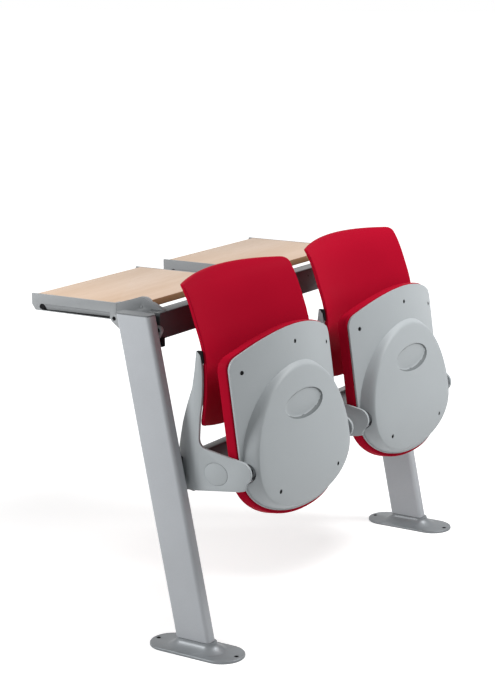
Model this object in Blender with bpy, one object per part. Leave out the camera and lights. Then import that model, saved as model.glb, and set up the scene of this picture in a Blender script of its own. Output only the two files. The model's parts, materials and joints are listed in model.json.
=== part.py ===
"""Two-place lecture bench with tip-up seats and fold-up writing tops.

Two leaning legs carry an upper and a lower beam. The lower beam carries the side arms of the
chairs, and the upper beam carries the hinges of the writing tops for the row behind.
Metres, +Z up. X runs along the row and +Y points to the row behind. The seats are modelled
tipped up and the writing tops laid flat. The origin is on the floor, under the middle of the unit.
"""
import math

import bmesh
import bpy

# Fits
GAP = 0.0003                    # between two solids that touch
RUNNING_GAP = 0.0010            # between a moving piece and a fixed one beside it

# Row
PLACE_COUNT = 2
PLACE_PITCH = 0.520
WRITING_HEIGHT = 0.750          # top face of the writing tops
SEAT_AXIS_HEIGHT = 0.410        # tip-up axis of the seats

# Feet
FOOT_LENGTH = 0.235
FOOT_WIDTH = 0.100
FOOT_PLATE = 0.006
FOOT_EDGE = 0.002               # rounding of the plate's upper edge
FOOT_HUMP_HEIGHT = 0.026
FOOT_HUMP_MARGIN = 0.005        # hump top beyond the leg's profile
FOOT_HUMP_SPREAD = 0.024        # how far the hump's foot runs out
FOOT_HOLE_RADIUS = 0.0055
FOOT_HOLE_INSET = 0.0135        # hole centre from the end of the plate

# Legs
LEG_THICKNESS = 0.032           # along the row
LEG_FLAT = 0.068                # width of the flat side
LEG_NOSE_RADIUS = 0.013         # round nose on the front and the rear edge
LEG_WALL = 0.003
LEG_LEAN = 11.3                 # degrees from upright, to the rear
LEG_BASE_SETBACK = 0.0035       # leg axis behind the middle of the foot
LEG_CLEARANCE = 0.008           # inner face outside the end chair's arm
LEG_DESK_CLEARANCE = 0.030      # inner face outside the end writing top
LEG_CAP_PLATE = 0.003
LEG_CAP_PLUG = 0.012

# Beams
UPPER_BEAM_DEPTH = 0.038
UPPER_BEAM_HEIGHT = 0.060
UPPER_BEAM_DROP = 0.005         # beam top below the writing tops
UPPER_BEAM_LEAD = 0.022         # beam middle in front of the leg axis
LOWER_BEAM_DEPTH = 0.028
LOWER_BEAM_HEIGHT = 0.060
LOWER_BEAM_DROP = 0.021         # beam middle below the tip-up axis
LOWER_BEAM_LEAD = 0.007
BEAM_WALL = 0.0025
BEAM_CORNER = 0.004

# Brackets between the legs and the upper beam
BRACKET_THICKNESS = 0.008
BRACKET_BOSS = 0.0195           # thickness at the rear bolt
BRACKET_EAR_RADIUS = 0.0095     # round ears at the bolts and at the lower tip
BRACKET_BOSS_RADIUS = 0.0085
BRACKET_REAR_EAR = 0.077        # rear bolt behind the leg axis
BRACKET_FRONT_EAR = 0.041       # front bolt before the leg axis
BRACKET_REAR_DROP = 0.020       # rear bolt below the top of the leg
BRACKET_FRONT_DROP = 0.034
BRACKET_TIP_DROP = 0.084
BOLT_HEAD_RADIUS = 0.0045
BOLT_HEAD_HEIGHT = 0.005
BOLT_RADIUS = 0.0025
BOLT_SOCKET_RADIUS = 0.002
BOLT_SOCKET_DEPTH = 0.004
END_BLOCK_LENGTH = 0.012
END_BLOCK_HEIGHT = 0.015
END_BLOCK_LIP = 0.004           # lip before the beam's front face
END_BLOCK_LAP = 0.005           # height of the lip beside the beam

# Writing tops
DESK_WIDTH = 0.406              # over the side arms
DESK_ARM_WIDTH = 0.020
DESK_ARM_HEIGHT = 0.038
DESK_ARM_END = 0.336            # rear end behind the rear face of the beam
DESK_ARM_CHAMFER = 0.013
DESK_ARM_CHAMFER_RUN = 0.010
DESK_LIP = 0.005                # upright lip of the arm beside the board
DESK_WEB = 0.006                # full-height part of the arm behind its seam
DESK_SEAM = 0.0955              # joint of arm and hinge bracket behind the beam
DESK_BOARD_FRONT = 0.048        # board's front edge behind the beam
DESK_BOARD_DEPTH = 0.274
DESK_BOARD_THICKNESS = 0.016
SLOT_START = 0.018              # side slot of the arm, from the seam
SLOT_END_MARGIN = 0.0215        # side slot to the arm's rear end
SLOT_HEIGHT = 0.0145
SLOT_RISE = 0.0015              # slot above the arm's lower edge
SLOT_DEPTH = 0.0075             # at the slot's lower edge
SLOT_TOP_DEPTH = 0.001          # at the slot's upper edge
SLOT_POCKET_DEPTH = 0.015       # round pocket at the slot's rear end

# Desk hinges
HINGE_AXIS_SETBACK = 0.027      # axis behind the rear face of the beam
HINGE_AXIS_DROP = 0.002         # axis below the writing tops
HINGE_HUMP_RADIUS = 0.0225
HINGE_HUMP_END = 62.0           # where the round hump stops over the axis, in degrees
HINGE_TONGUE_RADIUS = 0.0205
HINGE_TONGUE_END = 72.0         # where the tongue's round end starts, in degrees
HINGE_TONGUE_RISE = 0.008       # tongue above the arm's lower edge at the seam
HINGE_CHEEK_WIDTH = 0.0098
HINGE_BLOCK_WIDTH = 0.0125      # slope on the beam
HINGE_FRONT_LAP = 0.004         # slope starts behind the beam's front edge
HINGE_SKIRT = 0.045             # bracket reaches down behind the beam
HINGE_PIN_RADIUS = 0.004
HINGE_PIN_HEAD_RADIUS = 0.0065
HINGE_PIN_HEAD = 0.002

# Chair arms, with heights and setbacks from the tip-up axis
ARM_SPAN = 0.450                # over the outer faces of both arms
ARM_THICKNESS = 0.007
ARM_NOSE_RADIUS = 0.0265
ARM_NOSE_SETBACK = 0.002
ARM_NOSE_RISE = 0.004
ARM_NOSE_END = 235.0            # where the round nose meets the chin, in degrees
ARM_CHIN_HEIGHT = -0.034        # lower front corner
ARM_CHIN_SETBACK = -0.0075
ARM_CHIN_RUN = 0.015            # flatter stretch behind the corner
ARM_CHIN_FALL = 0.00375
ARM_THROAT_RADIUS = 0.021       # hollow corner between the upright and the nose
ARM_THROAT_HEIGHT = 0.0665
ARM_THROAT_SETBACK = 0.1085
ARM_REST_SLOPE = 9.9            # upper edge falls to the nose, in degrees
ARM_TOP = 0.262
ARM_TOP_WIDTH = 0.009
ARM_TOP_CORNER = 0.007          # rounding of the upper front corner
ARM_BEAM_REACH = 0.160          # tip-up axis to the front face of the lower beam
ARM_BEND_START = 0.109          # the arm curves inward behind here
ARM_BEND_RADIUS = 0.110
ARM_HEEL_REACH = 0.022          # heel over the clamp, behind the front face of the beam
ARM_HEEL_DEPTH = 0.0565         # lower rear corner below the axis
ARM_WAIST_KNOTS = (             # height, and distance before the beam, on the rear edge
    (0.1000, 0.0035),
    (0.1413, 0.0197),
    (0.1855, 0.0369),
)
LUG_LOW = 0.140                 # ear of the arm behind the back shell
LUG_HIGH = 0.230
LUG_REACH = 0.024
LUG_THICKNESS = 0.004
CAP_LENGTH = 0.060
CAP_HEIGHT = 0.050
CAP_SETBACK = 0.065             # cap middle behind the axis
CAP_DROP = 0.0065
CAP_THICKNESS = 0.003
CAP_PROUD = 0.0004
CLAMP_WIDTH = 0.032
CLAMP_WALL = 0.006
CLAMP_FRONT = 0.030             # block before the beam
CLAMP_HOOK = 0.018              # lips behind the beam

# Back shell, with heights and setbacks from the tip-up axis
BACK_INSET = 0.0068             # side edge inside the outer face of the arm
BACK_TOP_TAPER = 0.003          # each side narrower at the top
BACK_BOTTOM = 0.067
BACK_TOP = 0.4095
BACK_ARCH = 0.011               # top edge lower at its ends
BACK_BOTTOM_ARCH = 0.026        # bottom edge higher at its ends
BACK_TAPER_START = 0.310
BACK_THICKNESS = 0.009
BACK_TOP_CORNER = 0.012
BACK_BOTTOM_CORNER = 0.022
BACK_HOLLOW_BOTTOM = 0.034      # middle behind the edges
BACK_HOLLOW_TOP = 0.026
BACK_EDGE_KNOTS = (             # height, setback of the side edge
    (0.060, 0.103),
    (0.100, 0.098),
    (0.170, 0.089),
    (0.250, 0.091),
    (0.310, 0.108),
    (0.390, 0.142),
    (0.416, 0.176),
)

# Seat, measured flat: forward of the tip-up axis, and up from it
SEAT_INSET = 0.010              # side edge inside the outer face of the arm
SEAT_FRONT = 0.292
SEAT_REAR = 0.128
SEAT_REAR_FULLNESS = 2.25       # 2 is an ellipse, more is squarer
SEAT_ARCH = 0.045               # front edge further back at its ends
SEAT_CORNER = 0.032
SEAT_RIM = 0.006                # underside of the shell's side rim above the axis
SEAT_DISH_FRONT = 0.043         # middle lower than the rim
SEAT_DISH_REAR = 0.023
SEAT_FOLD_LEAN = 7.8            # tipped-up seat leans back, in degrees
SEAT_TRAVEL = 94.0              # from tipped up to seat ready for use
SHELL_WALL = 0.004
SHELL_INSET = 0.003             # under-shell inside the outline of the upper shell
SHELL_REAR_INSET = 0.008
BULGE_INSET = 0.007             # side inside the edge of the seat
BULGE_FRONT = 0.206
BULGE_REAR = 0.117
BULGE_REAR_RISE = 0.024         # face higher at the rear
BULGE_FACE = 0.0415             # face below the axis
BULGE_CROWN = 0.0118            # face higher at its sides
BULGE_SHOULDER = 0.07           # share of the bulge that the side wall takes
BULGE_WALL = 0.3                # straight share of the side wall, below its rounding
RECESS_FORWARD = 0.111          # finger recess
RECESS_WIDTH = 0.162
RECESS_HEIGHT = 0.064
RECESS_DEPTH = 0.0095
RECESS_FULLNESS = 14            # higher gives a flatter floor with a steeper wall
UPPER_SHELL_SKIN = 0.005
UPPER_SHELL_EDGE = 0.025        # height of the visible rim
UPPER_SHELL_LIP = 0.010         # width of the turned-down rim
SHELL_SEATING = 0.0005          # between the two shells
SCREW_HOLE_RADIUS = 0.0025
SCREW_CORNER_INSET = 0.035      # corner screws inside the edge of the seat
SCREW_CORNER_FORWARD = 0.216
SCREW_FRONT_FORWARD = 0.251
SCREW_REAR_INSET = 0.089        # rear screws inside the edge of the seat
SCREW_REAR_BACK = 0.060
NOTCH_CLEARANCE = 0.003         # cut-out round the stop peg

# Seat pivots
AXLE_FLANGE_RADIUS = 0.0215
AXLE_FLANGE = 0.0016
AXLE_RADIUS = 0.007
AXLE_LENGTH = 0.080
PEG_RADIUS = 0.0035
PEG_CIRCLE = 0.018
PEG_ENGAGEMENT = 0.007          # peg inside the slot
BLOCK_SIDE_CLEARANCE = 0.030    # bearing block inside the arm
BLOCK_WIDTH = 0.016
BLOCK_LENGTH = 0.070
BLOCK_TOP = 0.012
BLOCK_SEATING = 0.0025
SPRING_WIRE = 0.003
SPRING_TURNS = 6
SPRING_PITCH = 0.0042
SPRING_CLEARANCE = 0.0015

# Smoothness of round forms
ROUND_SIDES = 16
ARC_STEPS = 6
CAP_SIDES = 28
SPRING_STEPS = 8                # points in a turn of the spring
WIRE_SIDES = 5
BLOCK_STRIPS = 7                # odd, so that no joint between strips lies over the bore
WELD = 0.00001                  # points closer than this become one

# Derived places of the frame
LEG_SLOPE = math.tan(math.radians(LEG_LEAN))
LEG_FOOT_Z = FOOT_HUMP_HEIGHT + GAP
UPPER_BEAM_TOP = WRITING_HEIGHT - UPPER_BEAM_DROP
LEG_TOP_Z = UPPER_BEAM_TOP - LEG_CAP_PLATE
LOWER_BEAM_Z = SEAT_AXIS_HEIGHT - LOWER_BEAM_DROP
UPPER_BEAM_Z = UPPER_BEAM_TOP - UPPER_BEAM_HEIGHT / 2
ROW_HALF = (PLACE_COUNT - 1) / 2 * PLACE_PITCH
LEG_INNER_X = ROW_HALF + max(ARM_SPAN / 2 + LEG_CLEARANCE, DESK_WIDTH / 2 + LEG_DESK_CLEARANCE)
LEG_MID_X = LEG_INNER_X + LEG_THICKNESS / 2
BRACKET_OUTER_X = LEG_INNER_X - GAP
BRACKET_INNER_X = BRACKET_OUTER_X - BRACKET_THICKNESS


def leg_axis_y(height):
    """Setback of a leg's axis at a height above the floor."""
    return LEG_BASE_SETBACK + LEG_SLOPE * (height - LEG_FOOT_Z)


UPPER_BEAM_Y = leg_axis_y(UPPER_BEAM_Z) - UPPER_BEAM_LEAD
UPPER_BEAM_REAR = UPPER_BEAM_Y + UPPER_BEAM_DEPTH / 2
LOWER_BEAM_Y = leg_axis_y(LOWER_BEAM_Z) - LOWER_BEAM_LEAD
SEAT_AXIS_Y = LOWER_BEAM_Y - LOWER_BEAM_DEPTH / 2 - ARM_BEAM_REACH
HINGE_Y = UPPER_BEAM_REAR + HINGE_AXIS_SETBACK
HINGE_Z = WRITING_HEIGHT - HINGE_AXIS_DROP

# Derived places of a chair, from the tip-up axis
ARM_OUTER_X = ARM_SPAN / 2
ARM_INNER_X = ARM_OUTER_X - ARM_THICKNESS
BACK_WIDTH = ARM_SPAN - 2 * BACK_INSET
BACK_TOP_WIDTH = BACK_WIDTH - 2 * BACK_TOP_TAPER
SEAT_WIDTH = ARM_SPAN - 2 * SEAT_INSET
BULGE_WIDTH = SEAT_WIDTH - 2 * BULGE_INSET
BLOCK_OUTER_X = ARM_INNER_X - BLOCK_SIDE_CLEARANCE
BLOCK_INNER_X = BLOCK_OUTER_X - BLOCK_WIDTH
CLAMP_START = ARM_BEAM_REACH - GAP - CLAMP_FRONT
BEAM_LOW = -LOWER_BEAM_DROP - LOWER_BEAM_HEIGHT / 2
BEAM_HIGH = -LOWER_BEAM_DROP + LOWER_BEAM_HEIGHT / 2
CLAMP_TOP = BEAM_HIGH + GAP + CLAMP_WALL

SIDES = (("left", -1), ("right", 1))

FINISHES = {                    # colour, roughness, metallic
    "silver_paint": ((0.46, 0.48, 0.49), 0.42, 0.55),
    "grey_paint": ((0.33, 0.35, 0.36), 0.42, 0.0),
    "charcoal_paint": ((0.030, 0.028, 0.032), 0.38, 0.0),
    "grey_plastic": ((0.36, 0.385, 0.395), 0.50, 0.0),
    "red_plastic": ((0.47, 0.008, 0.025), 0.42, 0.0),
    "beech_veneer": ((0.77, 0.62, 0.47), 0.45, 0.0),
    "bright_steel": ((0.58, 0.58, 0.60), 0.28, 1.0),
    "black_plastic": ((0.018, 0.018, 0.020), 0.55, 0.0),
}


# Geometry helpers

def arc(centre, radius, start, end, steps=ARC_STEPS):
    """Points on an arc from one angle to another, in degrees."""
    points = []
    for step in range(steps + 1):
        angle = math.radians(start + (end - start) * step / steps)
        points.append((centre[0] + radius * math.cos(angle), centre[1] + radius * math.sin(angle)))
    return points


def curve_value(knots, position):
    """Value of a smooth curve through (position, value) knots."""
    index = 0
    while index < len(knots) - 2 and position > knots[index + 1][0]:
        index += 1

    def slope(at):
        before = knots[max(at - 1, 0)]
        after = knots[min(at + 1, len(knots) - 1)]
        return (after[1] - before[1]) / (after[0] - before[0])

    (start, low), (end, high) = knots[index], knots[index + 1]
    span = end - start
    t = min(max((position - start) / span, 0.0), 1.0)
    first, last = slope(index) * span, slope(index + 1) * span
    bend = (1 + 2 * t) * (1 - t) ** 2 * low + (3 - 2 * t) * t ** 2 * high
    return bend + t * (1 - t) ** 2 * first - t ** 2 * (1 - t) * last


def skin(loops, closed=False):
    """Closed body through loops of equal length, capped or joined end to end."""
    body = bmesh.new()
    rings = [[body.verts.new(point) for point in loop] for loop in loops]
    pairs = list(zip(rings, rings[1:]))
    if closed:
        pairs.append((rings[-1], rings[0]))
    for lower, upper in pairs:
        for index, corner in enumerate(lower):
            after = (index + 1) % len(lower)
            body.faces.new((corner, lower[after], upper[after], upper[index]))
    if not closed:
        body.faces.new(reversed(rings[0]))
        body.faces.new(rings[-1])
    return body


def prism(outline, start, end):
    """YZ outline extruded along X."""
    return skin([[(level, y, z) for y, z in outline] for level in (start, end)])


def stepped_prism(deep, shallow, start, step, end):
    """Two YZ outlines with a common edge: both run from start to step, the deep one on to end."""
    body = bmesh.new()
    corners = {}

    def corner(level, point):
        if (level, point) not in corners:
            corners[level, point] = body.verts.new((level, *point))
        return corners[level, point]

    def edges(outline):
        return list(zip(outline, outline[1:] + outline[:1]))

    def wall(edge, low, high):
        first, second = edge
        body.faces.new((corner(low, first), corner(low, second), corner(high, second), corner(high, first)))

    common = {frozenset(edge) for edge in edges(deep)} & {frozenset(edge) for edge in edges(shallow)}
    for outline in (deep, shallow):
        body.faces.new([corner(start, point) for point in outline])
        for edge in edges(outline):
            if frozenset(edge) not in common:
                wall(edge, start, step)
    body.faces.new([corner(step, point) for point in shallow])
    for edge in edges(deep):
        wall(edge, step, end)
    body.faces.new([corner(end, point) for point in deep])
    return body


def curved_plate(outline, outer, inner, planes):
    """YZ outline between two X surfaces that are functions of y, cut into strips at the planes."""
    body = bmesh.new()
    body.faces.new([body.verts.new((0.0, y, z)) for y, z in outline])
    for y in planes:
        everything = body.verts[:] + body.edges[:] + body.faces[:]
        bmesh.ops.bisect_plane(body, geom=everything, plane_co=(0, y, 0), plane_no=(0, 1, 0))
    first = body.verts[:]
    bmesh.ops.extrude_face_region(body, geom=body.faces[:])
    second = [vertex for vertex in body.verts if vertex not in first]
    for vertex in first:
        vertex.co.x = outer(vertex.co.y)
    for vertex in second:
        vertex.co.x = inner(vertex.co.y)
    return body


def turned(profile, y=0.0, z=0.0):
    """Body turned about a line along X, from (x, radius) steps."""
    loops = []
    for x, radius in profile:
        ring = arc((y, z), radius, 0, 360, ROUND_SIDES)[:-1]
        loops.append([(x, *point) for point in ring])
    return skin(loops)


def upright_rod(x, y, low, high, radius):
    """Cylinder along Z."""
    ring = arc((x, y), radius, 0, 360, ROUND_SIDES)[:-1]
    return skin([[(*point, level) for point in ring] for level in (low, high)])


def hull_plate(circles, start, end):
    """Convex plate across X, wrapped round (y, z, radius) circles."""
    body = bmesh.new()
    for level in (start, end):
        for y, z, radius in circles:
            for point in arc((y, z), radius, 0, 360, ROUND_SIDES)[:-1]:
                body.verts.new((level, *point))
    bmesh.ops.convex_hull(body, input=body.verts[:])
    inside = [vertex for vertex in body.verts if not vertex.link_faces]
    bmesh.ops.delete(body, geom=inside, context="VERTS")
    return body


def make_object(name, body):
    """Scene object from a body, with its faces pointing out."""
    bmesh.ops.recalc_face_normals(body, faces=body.faces[:])
    mesh = bpy.data.meshes.new(name)
    body.to_mesh(mesh)
    body.free()
    scene_object = bpy.data.objects.new(name, mesh)
    bpy.context.scene.collection.objects.link(scene_object)
    return scene_object


def combine(body, others, operation="DIFFERENCE"):
    """Body after a Boolean operation with each of the others."""
    base = make_object("base", body)
    tools = [make_object("tool", other) for other in others]
    for tool in tools:
        boolean = base.modifiers.new("combine", "BOOLEAN")
        boolean.operation = operation
        boolean.object = tool
    result = bmesh.new()
    result.from_object(base, bpy.context.evaluated_depsgraph_get())
    for temporary in [base] + tools:
        bpy.data.objects.remove(temporary)
    bmesh.ops.remove_doubles(result, verts=result.verts[:], dist=WELD)
    return result


def finish_material(name):
    """Material of a named finish, made once."""
    material = bpy.data.materials.get(name)
    if material is None:
        colour, roughness, metallic = FINISHES[name]
        material = bpy.data.materials.new(name)
        material.use_nodes = True
        shader = material.node_tree.nodes["Principled BSDF"]
        shader.inputs["Base Color"].default_value = (*colour, 1.0)
        shader.inputs["Roughness"].default_value = roughness
        shader.inputs["Metallic"].default_value = metallic
    return material


def add_part(name, body, finish, parent):
    """Named sub-part with its finish, shaded smooth except at sharp edges."""
    part = make_object(name, body)
    part.data.materials.append(finish_material(finish))
    part.data.shade_smooth()
    part.data.set_sharp_from_angle(angle=math.radians(32))
    part.parent = parent
    return part


def add_axis(name, parent, x, y, z):
    """Empty on a joint axis or at a reference point."""
    empty = bpy.data.objects.new(name, None)
    bpy.context.scene.collection.objects.link(empty)
    empty.parent = parent
    empty.location = (x, y, z)
    return empty


# Frame

def stadium(length, width, z):
    """Loop of an oblong with half-round ends along Y."""
    radius = width / 2
    reach = length / 2 - radius
    rear = arc((0, reach), radius, 0, 180)
    front = arc((0, -reach), radius, 180, 360)
    return [(x, y, z) for x, y in rear + front]


def foot_body():
    """Floor plate that swells into a socket under the leg, with two anchor holes."""
    hump_width = LEG_THICKNESS + 2 * FOOT_HUMP_MARGIN
    hump_length = LEG_FLAT + 2 * LEG_NOSE_RADIUS + 2 * FOOT_HUMP_MARGIN
    swell = FOOT_HUMP_HEIGHT - FOOT_PLATE
    loops = [
        stadium(FOOT_LENGTH, FOOT_WIDTH, 0.0),
        stadium(FOOT_LENGTH, FOOT_WIDTH, FOOT_PLATE - FOOT_EDGE),
        stadium(FOOT_LENGTH - 2 * FOOT_EDGE, FOOT_WIDTH - 2 * FOOT_EDGE, FOOT_PLATE),
    ]
    for share in (0.0, 0.12, 0.4, 0.75, 1.0):
        spread = 2 * FOOT_HUMP_SPREAD * (1 - share) ** 2
        loops.append(stadium(hump_length + spread, hump_width + spread, FOOT_PLATE + swell * share))
    reach = FOOT_LENGTH / 2 - FOOT_HOLE_INSET
    drills = [upright_rod(0, y, -FOOT_PLATE, 2 * FOOT_PLATE, FOOT_HOLE_RADIUS) for y in (-reach, reach)]
    return combine(skin(loops), drills)


def leg_profile(offset):
    """Plan of a leg, drawn in by an offset: flat sides with a stepped-in round nose at each end."""
    half = LEG_THICKNESS / 2 - offset
    flat = LEG_FLAT / 2 - offset
    nose = LEG_NOSE_RADIUS - offset
    centre = LEG_FLAT / 2
    rear = [(half, flat)] + arc((0, centre), nose, 0, 180) + [(-half, flat)]
    front = [(-half, -flat)] + arc((0, -centre), nose, 180, 360) + [(half, -flat)]
    return rear + front


def leg_loop(offset, z):
    """Leg profile at a height, moved back with the lean."""
    return [(x, y + leg_axis_y(z), z) for x, y in leg_profile(offset)]


def leg_body():
    """Hollow leaning leg, cut level at both ends."""
    loops = [leg_loop(0, LEG_FOOT_Z), leg_loop(0, LEG_TOP_Z - GAP)]
    loops += [leg_loop(LEG_WALL, LEG_TOP_Z - GAP), leg_loop(LEG_WALL, LEG_FOOT_Z)]
    return skin(loops, closed=True)


def leg_cap_body():
    """Cap plate with a plug inside the leg."""
    plug = LEG_WALL + GAP
    loops = [leg_loop(plug, LEG_TOP_Z - LEG_CAP_PLUG), leg_loop(plug, LEG_TOP_Z)]
    rim = [(x, y, LEG_TOP_Z) for x, y, z in leg_loop(0, LEG_TOP_Z)]
    loops += [rim, [(x, y, z + LEG_CAP_PLATE) for x, y, z in rim]]
    return skin(loops)


def rounded_rectangle(y, z, depth, height, corner):
    """YZ outline of a rectangle with round corners."""
    points = []
    for angle, side_y, side_z in ((0, 1, 1), (90, -1, 1), (180, -1, -1), (270, 1, -1)):
        centre = (y + side_y * (depth / 2 - corner), z + side_z * (height / 2 - corner))
        points += arc(centre, corner, angle, angle + 90, 3)
    return points


def box_outline(front, rear, low, high):
    """YZ outline of a plain rectangle."""
    return [(front, low), (rear, low), (rear, high), (front, high)]


def beam_body(y, z, depth, height, half_length):
    """Rectangular tube along the row."""
    outer = rounded_rectangle(y, z, depth, height, BEAM_CORNER)
    inner = rounded_rectangle(y, z, depth - 2 * BEAM_WALL, height - 2 * BEAM_WALL, BEAM_CORNER - BEAM_WALL)
    ends = (-half_length, half_length)
    loops = [[(x, *point) for point in outer] for x in ends]
    loops += [[(x, *point) for point in inner] for x in reversed(ends)]
    return skin(loops, closed=True)


def bracket_ears():
    """Setback and height of the rear and the front bolt, and of the lower tip."""
    axis = leg_axis_y(UPPER_BEAM_Z)
    rear = (axis + BRACKET_REAR_EAR, LEG_TOP_Z - BRACKET_REAR_DROP)
    front = (axis - BRACKET_FRONT_EAR, LEG_TOP_Z - BRACKET_FRONT_DROP)
    tip_z = LEG_TOP_Z - BRACKET_TIP_DROP
    return rear, front, (leg_axis_y(tip_z), tip_z)


def bracket_body(side):
    """Shield-shaped casting with countersunk holes for its two bolts."""
    rear, front, tip = bracket_ears()
    circles = [(*point, BRACKET_EAR_RADIUS) for point in (rear, front, tip)]
    outer, inner = side * BRACKET_OUTER_X, side * BRACKET_INNER_X
    boss_start, boss_end = (outer + inner) / 2, outer - side * BRACKET_BOSS
    boss = turned([(boss_start, BRACKET_BOSS_RADIUS), (boss_end, BRACKET_BOSS_RADIUS)], *rear)
    casting = combine(hull_plate(circles, outer, inner), [boss], "UNION")
    seat = outer - side * (BOLT_HEAD_HEIGHT + GAP)
    past_outer, past_inner = outer + side * BOLT_HEAD_HEIGHT, boss_end - side * BOLT_HEAD_HEIGHT
    drills = []
    for y, z in (rear, front):
        drills.append(turned([(past_outer, BOLT_HEAD_RADIUS + GAP), (seat, BOLT_HEAD_RADIUS + GAP)], y, z))
        drills.append(turned([(past_outer, BOLT_RADIUS + GAP), (past_inner, BOLT_RADIUS + GAP)], y, z))
    return combine(casting, drills)


def bolt_body(side, place, end):
    """Socket screw whose head lies in the bracket's outer face."""
    head = side * BRACKET_OUTER_X
    shoulder = head - side * BOLT_HEAD_HEIGHT
    socket = head - side * BOLT_SOCKET_DEPTH
    profile = [(socket, BOLT_SOCKET_RADIUS), (head, BOLT_SOCKET_RADIUS), (head, BOLT_HEAD_RADIUS)]
    profile += [(shoulder, BOLT_HEAD_RADIUS), (shoulder, BOLT_RADIUS), (end, BOLT_RADIUS)]
    return turned(profile, *place)


def end_block_body(side):
    """Block under the end of the upper beam, with a lip that laps the beam's front face."""
    high = UPPER_BEAM_TOP - UPPER_BEAM_HEIGHT - GAP
    low, lip_top = high - END_BLOCK_HEIGHT, high + END_BLOCK_LAP
    beam_front = UPPER_BEAM_REAR - UPPER_BEAM_DEPTH - GAP
    lip_front = beam_front - END_BLOCK_LIP
    outline = [(lip_front, low), (UPPER_BEAM_REAR, low), (UPPER_BEAM_REAR, high)]
    outline += [(beam_front, high), (beam_front, lip_top), (lip_front, lip_top)]
    start = side * (BRACKET_INNER_X - GAP)
    return prism(outline, start, start - side * END_BLOCK_LENGTH)


def build_frame(row):
    """Feet, legs, beams and the brackets between them."""
    upper_half = BRACKET_INNER_X - GAP
    lower_half = LEG_INNER_X - GAP
    upper = beam_body(UPPER_BEAM_Y, UPPER_BEAM_Z, UPPER_BEAM_DEPTH, UPPER_BEAM_HEIGHT, upper_half)
    lower = beam_body(LOWER_BEAM_Y, LOWER_BEAM_Z, LOWER_BEAM_DEPTH, LOWER_BEAM_HEIGHT, lower_half)
    add_part("upper_beam", upper, "charcoal_paint", row)
    add_part("lower_beam", lower, "charcoal_paint", row)
    rear_ear, front_ear, _ = bracket_ears()
    end_hinge_x = ROW_HALF + DESK_WIDTH / 2
    for name, side in SIDES:
        for kind, body in (("foot", foot_body()), ("leg", leg_body()), ("leg_cap", leg_cap_body())):
            part = add_part(f"{name}_{kind}", body, "silver_paint", row)
            part.location.x = side * LEG_MID_X
        add_part(f"{name}_beam_bracket", bracket_body(side), "silver_paint", row)
        rear_bolt = bolt_body(side, rear_ear, side * (end_hinge_x + GAP))
        front_bolt = bolt_body(side, front_ear, side * BRACKET_INNER_X)
        add_part(f"{name}_rear_bolt", rear_bolt, "charcoal_paint", row)
        add_part(f"{name}_front_bolt", front_bolt, "charcoal_paint", row)
        add_part(f"{name}_end_block", end_block_body(side), "black_plastic", row)


# Writing tops, modelled round their hinge axis

DESK_TOP = HINGE_AXIS_DROP
DESK_LOW = DESK_TOP - DESK_ARM_HEIGHT
SEAM_Y = DESK_SEAM - HINGE_AXIS_SETBACK
ARM_END_Y = DESK_ARM_END - HINGE_AXIS_SETBACK
DESK_HALF = DESK_WIDTH / 2


def hinge_body(side):
    """Fixed bracket: a slope on the beam, a cheek round the axis and a seam face for the arm."""
    beam_top = UPPER_BEAM_TOP + GAP - HINGE_Z
    front = (-HINGE_AXIS_SETBACK - UPPER_BEAM_DEPTH + HINGE_FRONT_LAP, beam_top)
    reach = math.hypot(*front)
    tangent = math.degrees(math.atan2(front[1], front[0]) - math.acos(HINGE_HUMP_RADIUS / reach)) % 360
    hump = arc((0, 0), HINGE_HUMP_RADIUS, tangent, HINGE_HUMP_END)
    start_of_hump = hump[0]
    behind_beam = -HINGE_AXIS_SETBACK + GAP
    share = (behind_beam - front[0]) / (start_of_hump[0] - front[0])
    slope_top = (behind_beam, front[1] + share * (start_of_hump[1] - front[1]))
    foot_corner = (behind_beam, beam_top)
    block = [front, foot_corner, slope_top]
    cheek = [slope_top, foot_corner, (behind_beam, beam_top - HINGE_SKIRT)]
    cheek += [(SEAM_Y, DESK_LOW), (SEAM_Y, DESK_TOP)] + hump[::-1]
    outer = side * DESK_HALF
    cheek_face = outer - side * HINGE_CHEEK_WIDTH
    body = stepped_prism(block, cheek, outer, cheek_face, outer - side * HINGE_BLOCK_WIDTH)
    bore = HINGE_PIN_RADIUS + GAP
    drill = turned([(outer + side * DESK_ARM_WIDTH, bore), (outer - side * 2 * DESK_ARM_WIDTH, bore)])
    return combine(body, [drill])


def hinge_pin_body(side):
    """Headed pin through the cheek and the tongue."""
    outer = side * DESK_HALF
    inner = outer - side * (DESK_ARM_WIDTH + GAP)
    profile = [(outer, HINGE_PIN_RADIUS), (inner, HINGE_PIN_RADIUS), (inner, HINGE_PIN_HEAD_RADIUS)]
    return turned(profile + [(inner - side * HINGE_PIN_HEAD, HINGE_PIN_HEAD_RADIUS)])


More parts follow.
